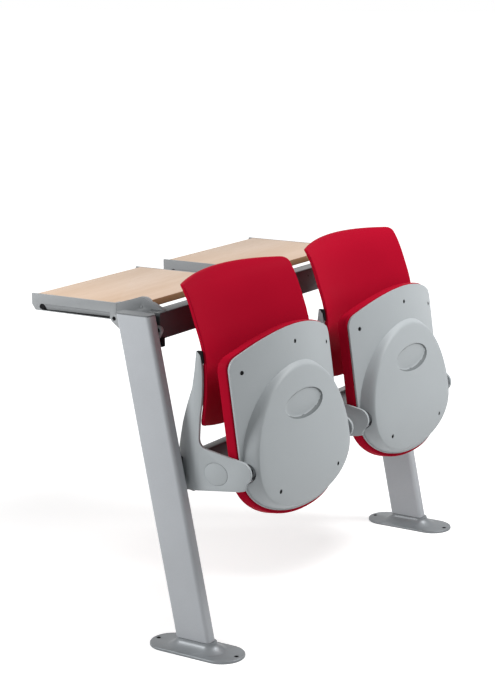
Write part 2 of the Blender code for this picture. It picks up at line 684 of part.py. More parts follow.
def desk_arm_body(side):
    """Side plate with a tongue on the hinge pin, a ledge for the board and a slot in its outer face."""
    seam = SEAM_Y + GAP
    chamfer_z = DESK_LOW + DESK_ARM_CHAMFER
    tongue_low = DESK_LOW + HINGE_TONGUE_RISE
    plate = [(seam, DESK_TOP), (seam, tongue_low), (seam, DESK_LOW)]
    plate += [(ARM_END_Y - DESK_ARM_CHAMFER_RUN, DESK_LOW), (ARM_END_Y, chamfer_z), (ARM_END_Y, DESK_TOP)]
    tongue = [(seam, tongue_low), (seam, DESK_TOP)]
    tongue += arc((0, 0), HINGE_TONGUE_RADIUS, HINGE_TONGUE_END, 270, 2 * ARC_STEPS)
    outer = side * DESK_HALF
    inner = outer - side * DESK_ARM_WIDTH
    tongue_face = outer - side * (HINGE_CHEEK_WIDTH + GAP)
    body = stepped_prism(plate, tongue, inner, tongue_face, outer)
    bore = HINGE_PIN_RADIUS + GAP
    drill = turned([(outer + side * DESK_ARM_WIDTH, bore), (outer - side * 2 * DESK_ARM_WIDTH, bore)])
    ledge = DESK_TOP - DESK_BOARD_THICKNESS - GAP
    rebate = box_outline(seam + DESK_WEB, ARM_END_Y + DESK_WEB, ledge, DESK_TOP + DESK_WEB)
    slot_low = DESK_LOW + SLOT_RISE
    start, end = seam + SLOT_START, ARM_END_Y - SLOT_END_MARGIN
    round_end = (end - SLOT_HEIGHT / 2, slot_low + SLOT_HEIGHT / 2)
    slot = [(start, slot_low + SLOT_HEIGHT), (start, slot_low)] + arc(round_end, SLOT_HEIGHT / 2, -90, 90)
    steepness = (SLOT_DEPTH - SLOT_TOP_DEPTH) / SLOT_HEIGHT
    ramp = skin([
        [(outer + side * SLOT_DEPTH, y, z) for y, z in slot],
        [(outer - side * (SLOT_DEPTH - steepness * (z - slot_low)), y, z) for y, z in slot],
    ])
    pocket_radius = SLOT_HEIGHT / 2 - GAP
    pocket_ends = (outer + side * SLOT_DEPTH, outer - side * SLOT_POCKET_DEPTH)
    pocket = turned([(x, pocket_radius) for x in pocket_ends], *round_end)
    cutters = [drill, prism(rebate, inner - side * DESK_WEB, outer - side * DESK_LIP), ramp, pocket]
    return combine(body, cutters)


def desk_board_body():
    """Wooden board on the ledges of the side arms, notched at the hinges."""
    front = DESK_BOARD_FRONT - HINGE_AXIS_SETBACK
    rear = front + DESK_BOARD_DEPTH
    notch = SEAM_Y + DESK_WEB + 2 * GAP
    narrow = DESK_HALF - DESK_ARM_WIDTH - GAP
    wide = DESK_HALF - DESK_LIP - GAP
    right = [(narrow, front), (narrow, notch), (wide, notch), (wide, rear)]
    outline = right + [(-x, y) for x, y in reversed(right)]
    levels = (DESK_TOP - DESK_BOARD_THICKNESS, DESK_TOP)
    return skin([[(x, y, level) for x, y in outline] for level in levels])


def build_desk(row, number, x):
    """One writing top with its two hinges."""
    axis = add_axis(f"desk_{number}_axis", row, x, HINGE_Y, HINGE_Z)
    add_part(f"desk_{number}_top", desk_board_body(), "beech_veneer", axis)
    for name, side in SIDES:
        prefix = f"desk_{number}_{name}"
        add_part(f"{prefix}_hinge", hinge_body(side), "grey_paint", axis)
        add_part(f"{prefix}_hinge_pin", hinge_pin_body(side), "bright_steel", axis)
        add_part(f"{prefix}_arm", desk_arm_body(side), "grey_paint", axis)


# Chairs, modelled round their tip-up axis

def back_edge_y(z):
    """Setback of the back shell's side edge at a height."""
    return curve_value(BACK_EDGE_KNOTS, z)


def arm_bend(y):
    """How far an arm has curved inward at a setback."""
    run = max(y - ARM_BEND_START, 0.0)
    return ARM_BEND_RADIUS - math.sqrt(ARM_BEND_RADIUS ** 2 - run ** 2)


def arm_outline():
    """Side view of an arm: an upright behind the back, a heel at the beam and a nose at the axis."""
    beam = ARM_BEAM_REACH - GAP
    upright_foot = BACK_BOTTOM + BACK_BOTTOM_ARCH + BACK_BOTTOM_CORNER
    corner_z = ARM_TOP - ARM_TOP_CORNER
    front = []
    for step in range(ARC_STEPS + 1):
        z = corner_z + (upright_foot - corner_z) * step / ARC_STEPS
        front.append((back_edge_y(z) + BACK_THICKNESS + GAP, z))
    top_corner = arc((front[0][0] + ARM_TOP_CORNER, corner_z), ARM_TOP_CORNER, 90, 180)[:-1]
    throat = (ARM_THROAT_SETBACK - ARM_THROAT_RADIUS, ARM_THROAT_HEIGHT)
    inner_corner = arc(throat, ARM_THROAT_RADIUS, 0, ARM_REST_SLOPE - 90)
    nose_middle = (ARM_NOSE_SETBACK, ARM_NOSE_RISE)
    nose = arc(nose_middle, ARM_NOSE_RADIUS, 90 + ARM_REST_SLOPE, ARM_NOSE_END, 2 * ARC_STEPS)
    chin = [(ARM_CHIN_SETBACK, ARM_CHIN_HEIGHT)]
    chin.append((ARM_CHIN_SETBACK + ARM_CHIN_RUN, ARM_CHIN_HEIGHT - ARM_CHIN_FALL))
    heel_low = CLAMP_TOP + GAP
    heel = [(beam, -ARM_HEEL_DEPTH), (beam, heel_low), (beam + ARM_HEEL_REACH, heel_low)]
    rear_knots = [(heel_low, beam + ARM_HEEL_REACH)]
    rear_knots += [(height, beam - lead) for height, lead in ARM_WAIST_KNOTS]
    rear_knots.append((ARM_TOP, back_edge_y(ARM_TOP) + BACK_THICKNESS + GAP + ARM_TOP_WIDTH))
    rear = []
    for step in range(1, ARC_STEPS + 1):
        z = heel_low + (ARM_TOP - heel_low) * step / ARC_STEPS
        rear.append((curve_value(rear_knots, z), z))
    return top_corner + front + inner_corner + nose + chin + heel + rear


def bend_planes():
    """Setbacks where the curved part of an arm is divided, also at the clamp's front and the beam."""
    run = ARM_BEAM_REACH + ARM_HEEL_REACH - ARM_BEND_START
    planes = [ARM_BEND_START + run * step / ARC_STEPS for step in range(ARC_STEPS)]
    return planes + [CLAMP_START, ARM_BEAM_REACH - GAP]


def cap_ellipse(inset):
    """Outline of the cover in an arm."""
    points = []
    for y, z in arc((0, 0), 1, 0, 360, CAP_SIDES)[:-1]:
        points.append((CAP_SETBACK + y * (CAP_LENGTH / 2 - inset), z * (CAP_HEIGHT / 2 - inset) - CAP_DROP))
    return points


def arm_lug_body(side):
    """Ear of an arm that lies against the rear of the back shell."""
    middle = side * (ARM_OUTER_X + ARM_INNER_X) / 2
    tip = side * (ARM_INNER_X - LUG_REACH)
    loops = []
    for step in range(ARC_STEPS + 1):
        z = LUG_LOW + (LUG_HIGH - LUG_LOW) * step / ARC_STEPS
        root_y = back_edge_y(z) + BACK_THICKNESS + 2 * GAP
        tip_y = back_front_y(tip, z) + BACK_THICKNESS + 2 * GAP
        corners = [(middle, root_y), (tip, tip_y)]
        corners += [(x, y + LUG_THICKNESS) for x, y in reversed(corners)]
        loops.append([(x, y, z) for x, y in corners])
    return skin(loops)


def arm_body(side):
    """Side arm with an ear for the back shell and a shallow seat for its cover."""
    plate = curved_plate(
        arm_outline(),
        lambda y: side * (ARM_OUTER_X - arm_bend(y)),
        lambda y: side * (ARM_INNER_X - arm_bend(y)),
        bend_planes())
    floor = side * (ARM_OUTER_X - CAP_THICKNESS - GAP)
    cutter = prism(cap_ellipse(-GAP), floor, side * (ARM_OUTER_X + CAP_THICKNESS))
    return combine(combine(plate, [arm_lug_body(side)], "UNION"), [cutter])


def arm_cap_body(side):
    """Flush cover in the outer face of an arm."""
    face = side * (ARM_OUTER_X + CAP_PROUD)
    return prism(cap_ellipse(0), side * (ARM_OUTER_X - CAP_THICKNESS), face)


def clamp_body(side):
    """Clamp that backs the arm's heel and grips the lower beam."""
    front, rear = ARM_BEAM_REACH - GAP, ARM_BEAM_REACH + LOWER_BEAM_DEPTH + GAP
    low, high = BEAM_LOW - GAP, BEAM_HIGH + GAP
    start = CLAMP_START
    lip = rear + CLAMP_WALL
    bottom, top = low - CLAMP_WALL, CLAMP_TOP
    outline = [
        (start, bottom), (lip, bottom), (lip, low + CLAMP_HOOK), (rear, low + CLAMP_HOOK),
        (rear, low), (front, low), (front, high), (rear, high),
        (rear, high - CLAMP_HOOK), (lip, high - CLAMP_HOOK), (lip, top), (start, top),
    ]

    def outer(y):
        return side * (ARM_INNER_X - arm_bend(min(y, front)) - GAP)

    inner_face = outer(front) - side * CLAMP_WIDTH
    planes = [y for y in bend_planes() if y <= front]
    return curved_plate(outline, outer, lambda y: inner_face, planes)


def mirrored(right_half):
    """Whole outline from its right half, which starts and ends on the middle line."""
    return right_half + [(-x, value) for x, value in right_half[-2:0:-1]]


def back_outline():
    """Front view of the back shell, from its top middle."""
    top_half, half = BACK_TOP_WIDTH / 2, BACK_WIDTH / 2
    top_x, low_x = top_half - BACK_TOP_CORNER, half - BACK_BOTTOM_CORNER

    def top_z(x):
        return BACK_TOP - BACK_ARCH * (x / top_half) ** 2

    def bottom_z(x):
        return BACK_BOTTOM + BACK_BOTTOM_ARCH * (x / half) ** 2

    high, low = top_z(top_x) - BACK_TOP_CORNER, bottom_z(low_x) + BACK_BOTTOM_CORNER
    points = [(top_x * step / ARC_STEPS, top_z(top_x * step / ARC_STEPS)) for step in range(ARC_STEPS)]
    points += arc((top_x, high), BACK_TOP_CORNER, 90, 0, 5)
    for step in range(1, ARC_STEPS):
        z = high + (low - high) * step / ARC_STEPS
        taper = max(z - BACK_TAPER_START, 0.0) / (high - BACK_TAPER_START)
        points.append((half + (top_half - half) * taper ** 1.5, z))
    points += arc((low_x, low), BACK_BOTTOM_CORNER, 0, -90, 4)
    bottom_steps = ARC_STEPS // 2
    for step in range(1, bottom_steps + 1):
        x = low_x * (1 - step / bottom_steps)
        points.append((x, bottom_z(x)))
    return mirrored(points)


def back_front_y(x, z):
    """Front face of the back shell."""
    rise = (z - BACK_BOTTOM) / (BACK_TOP - BACK_BOTTOM)
    hollow = BACK_HOLLOW_BOTTOM + (BACK_HOLLOW_TOP - BACK_HOLLOW_BOTTOM) * rise
    return back_edge_y(z) + hollow * (1 - (2 * x / BACK_WIDTH) ** 2)


def back_body():
    """Curved back shell with a rounded rim."""
    outline = back_outline()
    middle = (BACK_TOP + BACK_BOTTOM) / 2

    def loop(scale, depth):
        points = []
        for x, z in outline:
            at_x, at_z = x * scale, middle + (z - middle) * scale
            points.append((at_x, back_front_y(at_x, at_z) + depth, at_z))
        return points

    scales = (0.25, 0.5, 0.75, 0.92, 0.985)
    loops = [loop(scale, 0.0) for scale in scales]
    loops.append(loop(1.0, BACK_THICKNESS / 2))
    loops += [loop(scale, BACK_THICKNESS) for scale in reversed(scales)]
    return skin(loops)


def seat_outline(inset, rear_inset):
    """Plan of the seat, drawn in by two insets: (x, forward) from the front middle."""
    half = SEAT_WIDTH / 2 - inset
    front, rear = SEAT_FRONT - inset, SEAT_REAR - rear_inset
    fullness = 2 / SEAT_REAR_FULLNESS
    corner_x = half - SEAT_CORNER
    lean = math.atan(2 * SEAT_ARCH * corner_x / half ** 2)
    end_x = corner_x + SEAT_CORNER * math.sin(lean)
    points = []
    for step in range(ARC_STEPS):
        x = end_x * step / ARC_STEPS
        points.append((x, front - SEAT_ARCH * (x / half) ** 2))
    corner_y = front - SEAT_ARCH * (end_x / half) ** 2 - SEAT_CORNER * math.cos(lean)
    points += arc((corner_x, corner_y), SEAT_CORNER, 90 - math.degrees(lean), 0, 4)
    for step in range(1, 4):
        points.append((half, corner_y * (1 - step / 4)))
    for across, back in arc((0, 0), 1, 0, -90, ARC_STEPS):
        points.append((half * abs(across) ** fullness, -rear * abs(back) ** fullness))
    return mirrored(points)


def flange_z(x, forward):
    """Underside of the seat without its bulge: a dish, deeper towards the front."""
    share = (forward + SEAT_REAR) / (SEAT_FRONT + SEAT_REAR)
    dish = SEAT_DISH_REAR + (SEAT_DISH_FRONT - SEAT_DISH_REAR) * share
    return SEAT_RIM - dish * (1 - (2 * x / SEAT_WIDTH) ** 2)


def bulge_spread(x, forward):
    """1 on the edge of the shell's egg-shaped bulge, less inside it."""
    reach, power = (BULGE_FRONT, 2) if forward > 0 else (BULGE_REAR, SEAT_REAR_FULLNESS)
    return (abs(2 * x / BULGE_WIDTH) ** power + abs(forward / reach) ** power) ** (1 / power)


def recess_spread(x, forward):
    """1 on the edge of the finger recess, less inside it."""
    return math.hypot(2 * x / RECESS_WIDTH, 2 * (forward - RECESS_FORWARD) / RECESS_HEIGHT)


def wall_rise(climb):
    """Height of the bulge's side wall: straight at first, then rounded over to the face."""
    slope = 2 / (1 + BULGE_WALL)
    if climb < BULGE_WALL:
        return slope * climb
    return 1 - slope * (1 - climb) ** 2 / (2 * (1 - BULGE_WALL))


def shell_z(x, forward):
    """Underside of the seat: flange, bulge and finger recess."""
    flange = flange_z(x, forward)
    spread = bulge_spread(x, forward)
    climb = min(max((1 - spread) / BULGE_SHOULDER, 0.0), 1.0)
    rear_rise = BULGE_REAR_RISE * (min(forward, 0.0) / SEAT_REAR) ** 2
    face = min(BULGE_CROWN * (2 * x / BULGE_WIDTH) ** 2 - BULGE_FACE + rear_rise, flange)
    height = flange + (face - flange) * wall_rise(climb)
    return height + RECESS_DEPTH * max(1 - recess_spread(x, forward) ** RECESS_FULLNESS, 0.0)


def on_ray(point, share):
    """Place between the middle of the finger recess (share 0) and a point of the outline (share 1)."""
    x, forward = point
    return x * share, RECESS_FORWARD + (forward - RECESS_FORWARD) * share


def bulge_share(point, level):
    """Share of the ray to an outline point at which the bulge has a given spread."""
    low, high = 0.0, 1.0
    while high - low > WELD:
        middle = (low + high) / 2
        if bulge_spread(*on_ray(point, middle)) < level:
            low = middle
        else:
            high = middle
    return low


def seat_ring(outline, shares, height):
    """Ring with one place on the ray to each outline point, lifted by a height function."""
    ring = []
    for point, share in zip(outline, shares):
        x, forward = on_ray(point, share)
        ring.append((x, -forward, height(x, forward)))
    return ring


def even_ring(outline, share, height):
    """Ring at the same share of every ray."""
    return seat_ring(outline, [share] * len(outline), height)


def shell_shares(outline):
    """Shares of the rings that follow the recess, the bulge's shoulder and the outline."""
    recess = [1 / recess_spread(*point) for point in outline]
    shoulder = [bulge_share(point, 1 - BULGE_SHOULDER) for point in outline]
    base = [bulge_share(point, 1.0) for point in outline]
    edge = [1.0] * len(outline)

    def between(first, second, part):
        return [a + (b - a) * part for a, b in zip(first, second)]

    middle = [0.0] * len(outline)
    rings = [between(middle, recess, part) for part in (0.4, 0.92, 1.0)]
    rings += [between(recess, shoulder, part) for part in (0.5, 1.0)]
    rounded = 1 - BULGE_WALL
    rings += [between(shoulder, base, part) for part in (rounded / 2, rounded, 1.0)]
    return rings + [between(base, edge, part) for part in (0.5, 1.0)]


def seat_shell_body():
    """Grey under-shell: open tray with screw holes and a cut-out round each axle."""
    outline = seat_outline(SHELL_INSET, SHELL_REAR_INSET)
    outer = [seat_ring(outline, shares, shell_z) for shares in shell_shares(outline)]
    inner = [[(x, y, z + SHELL_WALL) for x, y, z in ring] for ring in reversed(outer)]
    cutters = []
    screws = [(0.0, SCREW_FRONT_FORWARD)]
    notch_radius = PEG_CIRCLE + PEG_RADIUS + NOTCH_CLEARANCE
    for _, side in SIDES:
        screws.append((side * (SEAT_WIDTH / 2 - SCREW_CORNER_INSET), SCREW_CORNER_FORWARD))
        screws.append((side * (SEAT_WIDTH / 2 - SCREW_REAR_INSET), -SCREW_REAR_BACK))
        notch_start = side * (BLOCK_OUTER_X + GAP)
        cutters.append(turned([(notch_start, notch_radius), (side * SEAT_WIDTH, notch_radius)]))
    for x, forward in screws:
        cutters.append(upright_rod(x, -forward, -SEAT_WIDTH / 4, SEAT_WIDTH / 4, SCREW_HOLE_RADIUS))
    return combine(skin(outer + inner), cutters)


def seat_top_body():
    """Red upper shell: a dished skin with a turned-down rim that sits on the under-shell."""
    outline = seat_outline(0.0, 0.0)
    rise = SHELL_WALL + SHELL_SEATING

    def rim_low(x, forward):
        return flange_z(x, forward) + rise

    def face(x, forward):
        return flange_z(x, forward) + rise + UPPER_SHELL_EDGE

    def underside(x, forward):
        return face(x, forward) - UPPER_SHELL_SKIN

    def rounded_edge(x, forward):
        return face(x, forward) - UPPER_SHELL_SKIN / 2

    lip = 1 - UPPER_SHELL_LIP / (SEAT_WIDTH / 2)
    inner_shares = (0.25, 0.5, 0.75)
    loops = [even_ring(outline, share, face) for share in inner_shares + (0.93, 0.985)]
    loops += [even_ring(outline, 1.0, rounded_edge), even_ring(outline, 1.0, rim_low)]
    loops += [even_ring(outline, lip, rim_low), even_ring(outline, lip, underside)]
    loops += [even_ring(outline, share, underside) for share in reversed(inner_shares)]
    return skin(loops)


def axle_body(side):
    """Stub axle with a flange on the arm and a peg that limits the seat's travel."""
    flange = side * (ARM_INNER_X - GAP)
    shoulder = flange - side * AXLE_FLANGE
    end = flange - side * AXLE_LENGTH
    profile = [(flange, AXLE_FLANGE_RADIUS), (shoulder, AXLE_FLANGE_RADIUS)]
    profile += [(shoulder, AXLE_RADIUS), (end, AXLE_RADIUS)]
    angle = math.radians(180 - SEAT_FOLD_LEAN + SEAT_TRAVEL / 2)
    place = (PEG_CIRCLE * math.cos(angle), PEG_CIRCLE * math.sin(angle))
    peg_end = side * (BLOCK_OUTER_X - PEG_ENGAGEMENT)
    peg = turned([(flange - side * AXLE_FLANGE / 2, PEG_RADIUS), (peg_end, PEG_RADIUS)], *place)
    return combine(turned(profile), [peg], "UNION")


def hinge_block_body(side):
    """Bearing block on the floor of the under-shell, with a bore and a slot for the stop peg."""
    outer, inner = side * BLOCK_OUTER_X, side * BLOCK_INNER_X
    floor_gap = SHELL_WALL + BLOCK_SEATING
    loops = []
    for step in range(BLOCK_STRIPS + 1):
        forward = BLOCK_LENGTH * (step / BLOCK_STRIPS - 0.5)
        corners = [(x, shell_z(x, forward) + floor_gap) for x in (inner, outer)]
        corners += [(outer, BLOCK_TOP), (inner, BLOCK_TOP)]
        loops.append([(x, -forward, z) for x, z in corners])
    past_outer, past_inner = outer + side * BLOCK_WIDTH, inner - side * BLOCK_WIDTH
    bore = turned([(past_outer, AXLE_RADIUS + GAP), (past_inner, AXLE_RADIUS + GAP)])
    half_width = PEG_RADIUS + GAP
    swing = SEAT_TRAVEL / 2 + math.degrees(half_width / PEG_CIRCLE)
    slot = arc((0, 0), PEG_CIRCLE + half_width, 270 - swing, 270 + swing)
    slot += arc((0, 0), PEG_CIRCLE - half_width, 270 + swing, 270 - swing)
    slot_floor = outer - side * (PEG_ENGAGEMENT + RUNNING_GAP)
    return combine(skin(loops), [bore, prism(slot, past_outer, slot_floor)])


def spring_body(side):
    """Coil spring round an axle, beside the bearing block."""
    radius = AXLE_RADIUS + SPRING_CLEARANCE + SPRING_WIRE / 2
    start = BLOCK_INNER_X - GAP - SPRING_WIRE / 2
    rise = SPRING_PITCH / (2 * math.pi * radius)
    loops = []
    for step in range(SPRING_TURNS * SPRING_STEPS + 1):
        angle = 2 * math.pi * step / SPRING_STEPS
        outward = (math.cos(angle), math.sin(angle))
        centre_x = start - SPRING_PITCH * step / SPRING_STEPS
        ring = []
        for across, along in arc((0, 0), SPRING_WIRE / 2, 0, 360, WIRE_SIDES)[:-1]:
            tilt = along * rise
            y = (radius + across) * outward[0] - tilt * outward[1]
            z = (radius + across) * outward[1] + tilt * outward[0]
            ring.append((side * (centre_x + along), y, z))
        loops.append(ring)
    return skin(loops)


def build_chair(row, number, x):
    """One chair: fixed arms and back, and the seat tipped up on its axles."""
    axis = add_axis(f"chair_{number}_axis", row, x, SEAT_AXIS_Y, SEAT_AXIS_HEIGHT)
    prefix = f"chair_{number}"
    add_part(f"{prefix}_back", back_body(), "red_plastic", axis)
    seat_parts = [
        add_part(f"{prefix}_seat_shell", seat_shell_body(), "grey_plastic", axis),
        add_part(f"{prefix}_seat_top", seat_top_body(), "red_plastic", axis),
        add_part(f"{prefix}_spring", spring_body(-1), "bright_steel", axis),
    ]
    for name, side in SIDES:
        add_part(f"{prefix}_{name}_arm", arm_body(side), "grey_plastic", axis)
        add_part(f"{prefix}_{name}_arm_cap", arm_cap_body(side), "grey_plastic", axis)
        add_part(f"{prefix}_{name}_clamp", clamp_body(side), "charcoal_paint", axis)
        add_part(f"{prefix}_{name}_axle", axle_body(side), "bright_steel", axis)
        block = add_part(f"{prefix}_{name}_hinge_block", hinge_block_body(side), "grey_plastic", axis)
        seat_parts.append(block)
    for part in seat_parts:
        part.rotation_euler.x = -math.radians(90 + SEAT_FOLD_LEAN)


def centre_over_origin(row):
    """Move the row so that the middle of its box stands over the origin."""
    bpy.context.view_layer.update()
    setbacks = []
    for part in bpy.context.scene.objects:
        if part.type == "MESH":
            setbacks += [(part.matrix_world @ vertex.co).y for vertex in part.data.vertices]
    row.location.y = -(min(setbacks) + max(setbacks)) / 2


def main():
    """Build the whole unit in an empty scene."""
    for leftover in list(bpy.data.objects):
        bpy.data.objects.remove(leftover)
    row = add_axis("row", None, 0.0, 0.0, 0.0)
    build_frame(row)
    for index in range(PLACE_COUNT):
        x = index * PLACE_PITCH - ROW_HALF
        build_desk(row, index + 1, x)
        build_chair(row, index + 1, x)
    centre_over_origin(row)


main()
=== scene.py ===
"""Studio scene of a lecture bench with tip-up seats and fold-up writing tops.

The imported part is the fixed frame. The operators give every piece its finish, model the backs, the
seats, the legs and the feet finely, add the small fixings, and set a pale studio round the bench.
"""
import json
import math
from functools import partial

import bmesh
import bpy
from bpy.props import FloatProperty, FloatVectorProperty, PointerProperty
from bpy.types import Operator, Panel, PropertyGroup
from mathutils import Matrix, Vector


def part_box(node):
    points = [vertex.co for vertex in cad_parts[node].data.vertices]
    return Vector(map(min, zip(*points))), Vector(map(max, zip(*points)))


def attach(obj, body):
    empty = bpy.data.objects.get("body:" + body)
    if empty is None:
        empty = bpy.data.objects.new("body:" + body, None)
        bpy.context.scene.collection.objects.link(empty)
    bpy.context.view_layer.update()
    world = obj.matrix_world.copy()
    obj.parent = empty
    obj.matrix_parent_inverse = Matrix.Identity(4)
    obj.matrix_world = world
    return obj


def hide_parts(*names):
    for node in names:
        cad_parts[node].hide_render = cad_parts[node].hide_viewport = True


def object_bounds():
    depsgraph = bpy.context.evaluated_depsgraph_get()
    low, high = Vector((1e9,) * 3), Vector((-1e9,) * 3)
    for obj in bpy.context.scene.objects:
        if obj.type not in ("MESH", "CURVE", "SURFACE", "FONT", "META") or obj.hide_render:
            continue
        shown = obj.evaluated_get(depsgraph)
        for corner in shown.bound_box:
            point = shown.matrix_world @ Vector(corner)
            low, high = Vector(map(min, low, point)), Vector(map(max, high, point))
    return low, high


bl_info = {
    "name": "Lecture bench dressing",
    "version": (1, 0, 0),
    "blender": (4, 5, 0),
    "location": "View3D > Sidebar > Bench",
    "description": "Dresses the packed lecture bench and sets a studio round it",
    "category": "Object",
}

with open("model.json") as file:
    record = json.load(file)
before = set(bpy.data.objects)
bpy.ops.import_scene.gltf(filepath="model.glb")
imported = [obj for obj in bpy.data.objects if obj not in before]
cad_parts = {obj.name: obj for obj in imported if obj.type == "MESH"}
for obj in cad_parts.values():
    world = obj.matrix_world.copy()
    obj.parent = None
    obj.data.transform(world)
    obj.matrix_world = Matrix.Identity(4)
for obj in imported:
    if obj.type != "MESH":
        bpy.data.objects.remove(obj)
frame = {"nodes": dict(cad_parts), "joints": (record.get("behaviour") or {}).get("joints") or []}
CAD_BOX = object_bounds()
SIDES = (("left", -1), ("right", 1))
PLACES = (1, 2)
JOINTS = {joint["name"]: Vector(joint["pos_m"]) for joint in frame["joints"]}
FOOT_LOW, FOOT_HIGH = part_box("left_foot")
ROW_Y = (FOOT_LOW.y + FOOT_HIGH.y) / 2

# Side edge of a back: height above the tip-up axis, and setback from it
BACK_EDGE = ((0.060, 0.103), (0.100, 0.098), (0.170, 0.089), (0.250, 0.091), (0.310, 0.108), (0.390, 0.142),
             (0.416, 0.176))
# Screw head from its rim to its driver recess: shares of its radius and of its thickness
SCREW_PROFILE = ((1.0, -1.0), (1.0, 0.0), (0.8, 0.5), (0.42, 0.6), (0.36, -0.4))
SHARP_ANGLE = math.radians(38)  # edges that bend more than this stay sharp
NOISE_SPAN = (0.3, 0.7)         # usual range of a noise value
WHITE = (1.0, 1.0, 1.0, 1.0)
IMAGE_HEIGHT = 700              # pixels of the picture's long side
FOCAL_PIXELS = 1721.5           # focal length in the same pixels
SENSOR = 36.0                   # millimetres along the long side


# Properties

def metres(description, default):
    """Length property."""
    return FloatProperty(description=description, default=default, unit="LENGTH", precision=4)


def share(description, default):
    """Property without a unit."""
    return FloatProperty(description=description, default=default, precision=3)


def degrees(description, default):
    """Angle property, with its default in degrees."""
    return FloatProperty(description=description, default=math.radians(default), subtype="ANGLE")


def location(description, default):
    """Place property."""
    return FloatVectorProperty(description=description, default=default, subtype="TRANSLATION")


def colour(description, default):
    """Linear colour property."""
    return FloatVectorProperty(description=description, default=default, subtype="COLOR", min=0.0, max=1.0)


class BackSizes(PropertyGroup):
    """Sizes of a back shell, with heights above the tip-up axis, and of the dark wedges beside it."""
    width: metres("Over the side edges", 0.4364)
    top_width: metres("At the upper corners", 0.4304)
    bottom: metres("Lower edge in the middle", 0.0625)
    top: metres("Upper edge in the middle", 0.4095)
    arch: metres("Upper edge lower at its ends", 0.011)
    bottom_arch: metres("Lower edge higher at its ends", 0.034)
    taper_start: metres("Height where the sides start to run in", 0.310)
    taper_power: share("1 runs in straight, more is bent", 1.5)
    thickness: metres("Of the shell", 0.009)
    top_corner: metres("Radius of the upper corners", 0.012)
    bottom_corner: metres("Radius of the lower corners", 0.022)
    hollow_bottom: metres("Middle behind the edges at the bottom", 0.034)
    hollow_top: metres("Middle behind the edges at the top", 0.026)
    front_round: metres("Radius of the rim's front edge", 0.0030)
    rear_round: metres("Radius of the rim's rear edge", 0.001)
    wedge_height: metres("Down from the upper end of the arm", 0.027)
    wedge_depth: metres("From front to rear at its top", 0.011)
    wedge_waist: metres("The same where it turns slim", 0.0040)
    wedge_turn: metres("Down from the top to where it turns slim", 0.009)
    wedge_width: metres("Along the row", 0.0076)
    wedge_lead: metres("Before the rear of the back's edge", 0.0035)
    wedge_proud: metres("Past the outer face of the arm", 0.0003)


class SeatSizes(PropertyGroup):
    """Sizes of a seat laid flat, forward of the tip-up axis and up from it."""
    width: metres("Over the side edges", 0.430)
    front: metres("Front edge before the axis", 0.292)
    rear: metres("Rear edge behind the axis", 0.128)
    fullness: share("Rear outline: 2 is an ellipse, more is squarer", 2.25)
    arch: metres("Front edge further back at its ends", 0.045)
    corner: metres("Radius of the front corners", 0.032)
    rim: metres("Underside of the side rim above the axis", 0.006)
    dish_front: metres("Middle lower than the rim at the front", 0.043)
    dish_rear: metres("Middle lower than the rim at the rear", 0.023)
    fold_lean: degrees("Tipped-up seat leans back from upright", 7.8)
    skin: metres("Thickness of the upper shell", 0.005)
    edge: metres("Height of the visible rim", 0.025)
    edge_round: metres("Radius of the rim's upper edge, half of it below", 0.005)
    lip: metres("Width of the turned-down rim", 0.010)
    seating: metres("Gap between the two shells", 0.0012)
    wall: metres("Thickness of the under-shell", 0.004)
    inset: metres("Under-shell inside the upper shell's outline", 0.003)
    rear_inset: metres("The same at the rear", 0.008)


class BulgeSizes(PropertyGroup):
    """Sizes of the under-shell's egg-shaped bulge, its finger recess and its screws."""
    width: metres("Over the sides", 0.416)
    front: metres("Before the axis", 0.206)
    rear: metres("Behind the axis", 0.117)
    rear_rise: metres("Face higher at the rear", 0.024)
    face: metres("Below the axis", 0.0415)
    crown: metres("Face higher at its sides", 0.0118)
    shoulder: share("Share of the bulge that the side wall takes", 0.07)
    straight: share("Straight share of the side wall", 0.3)
    recess_forward: metres("Middle before the axis", 0.111)
    recess_width: metres("Along the row", 0.162)
    recess_height: metres("From front to rear", 0.064)
    recess_depth: metres("At its deep edge, next to the axis", 0.0115)
    recess_shallow: share("Share of that depth at the opposite edge", 0.15)
    recess_fullness: share("Higher gives a flatter floor with a steeper wall", 14.0)
    # Steep faces of the finger recess take the painted shade of the second finish
    shade_wall_limit: share("Wall faces have a normal less upright than this", 0.88)
    screw_hole: metres("Radius of the holes", 0.0050)
    screw_fit: share("Heads as a share of their holes", 0.97)
    screw_head: metres("Thickness of the heads", 0.0014)
    screw_sink: metres("Heads behind the face of the shell", 0.001)
    front_screw: metres("Middle screw before the axis", 0.251)
    corner_screw: metres("Two corner screws before the axis", 0.216)
    corner_reach: metres("Corner screws from the middle", 0.180)
    rear_screw: metres("Two rear screws behind the axis", 0.060)
    rear_reach: metres("Rear screws from the middle", 0.126)
    notch: metres("Radius of the cut-out round the stop peg", 0.0225)
    notch_start: metres("Cut-out from the middle of the seat", 0.1883)


class FootSizes(PropertyGroup):
    """Sizes of a foot."""
    plate: metres("Thickness of the floor plate", 0.006)
    chamfer: metres("Lower edge of the plate", 0.0006)
    rounding: metres("Radius of the plate's upper edge", 0.0025)
    hump_width: metres("Socket across the leg", 0.037)
    hump_length: metres("Socket along the foot", 0.099)
    spread: metres("How far the socket's foot runs out", 0.024)
    hole: metres("Radius of the anchor holes", 0.0055)
    hole_inset: metres("Centre from the end of the plate", 0.0135)
    anchor_fit: share("Heads as a share of their holes", 0.95)
    anchor_head: metres("Thickness of the heads", 0.0016)
    anchor_sink: metres("Heads below the plate's upper face", 0.0012)


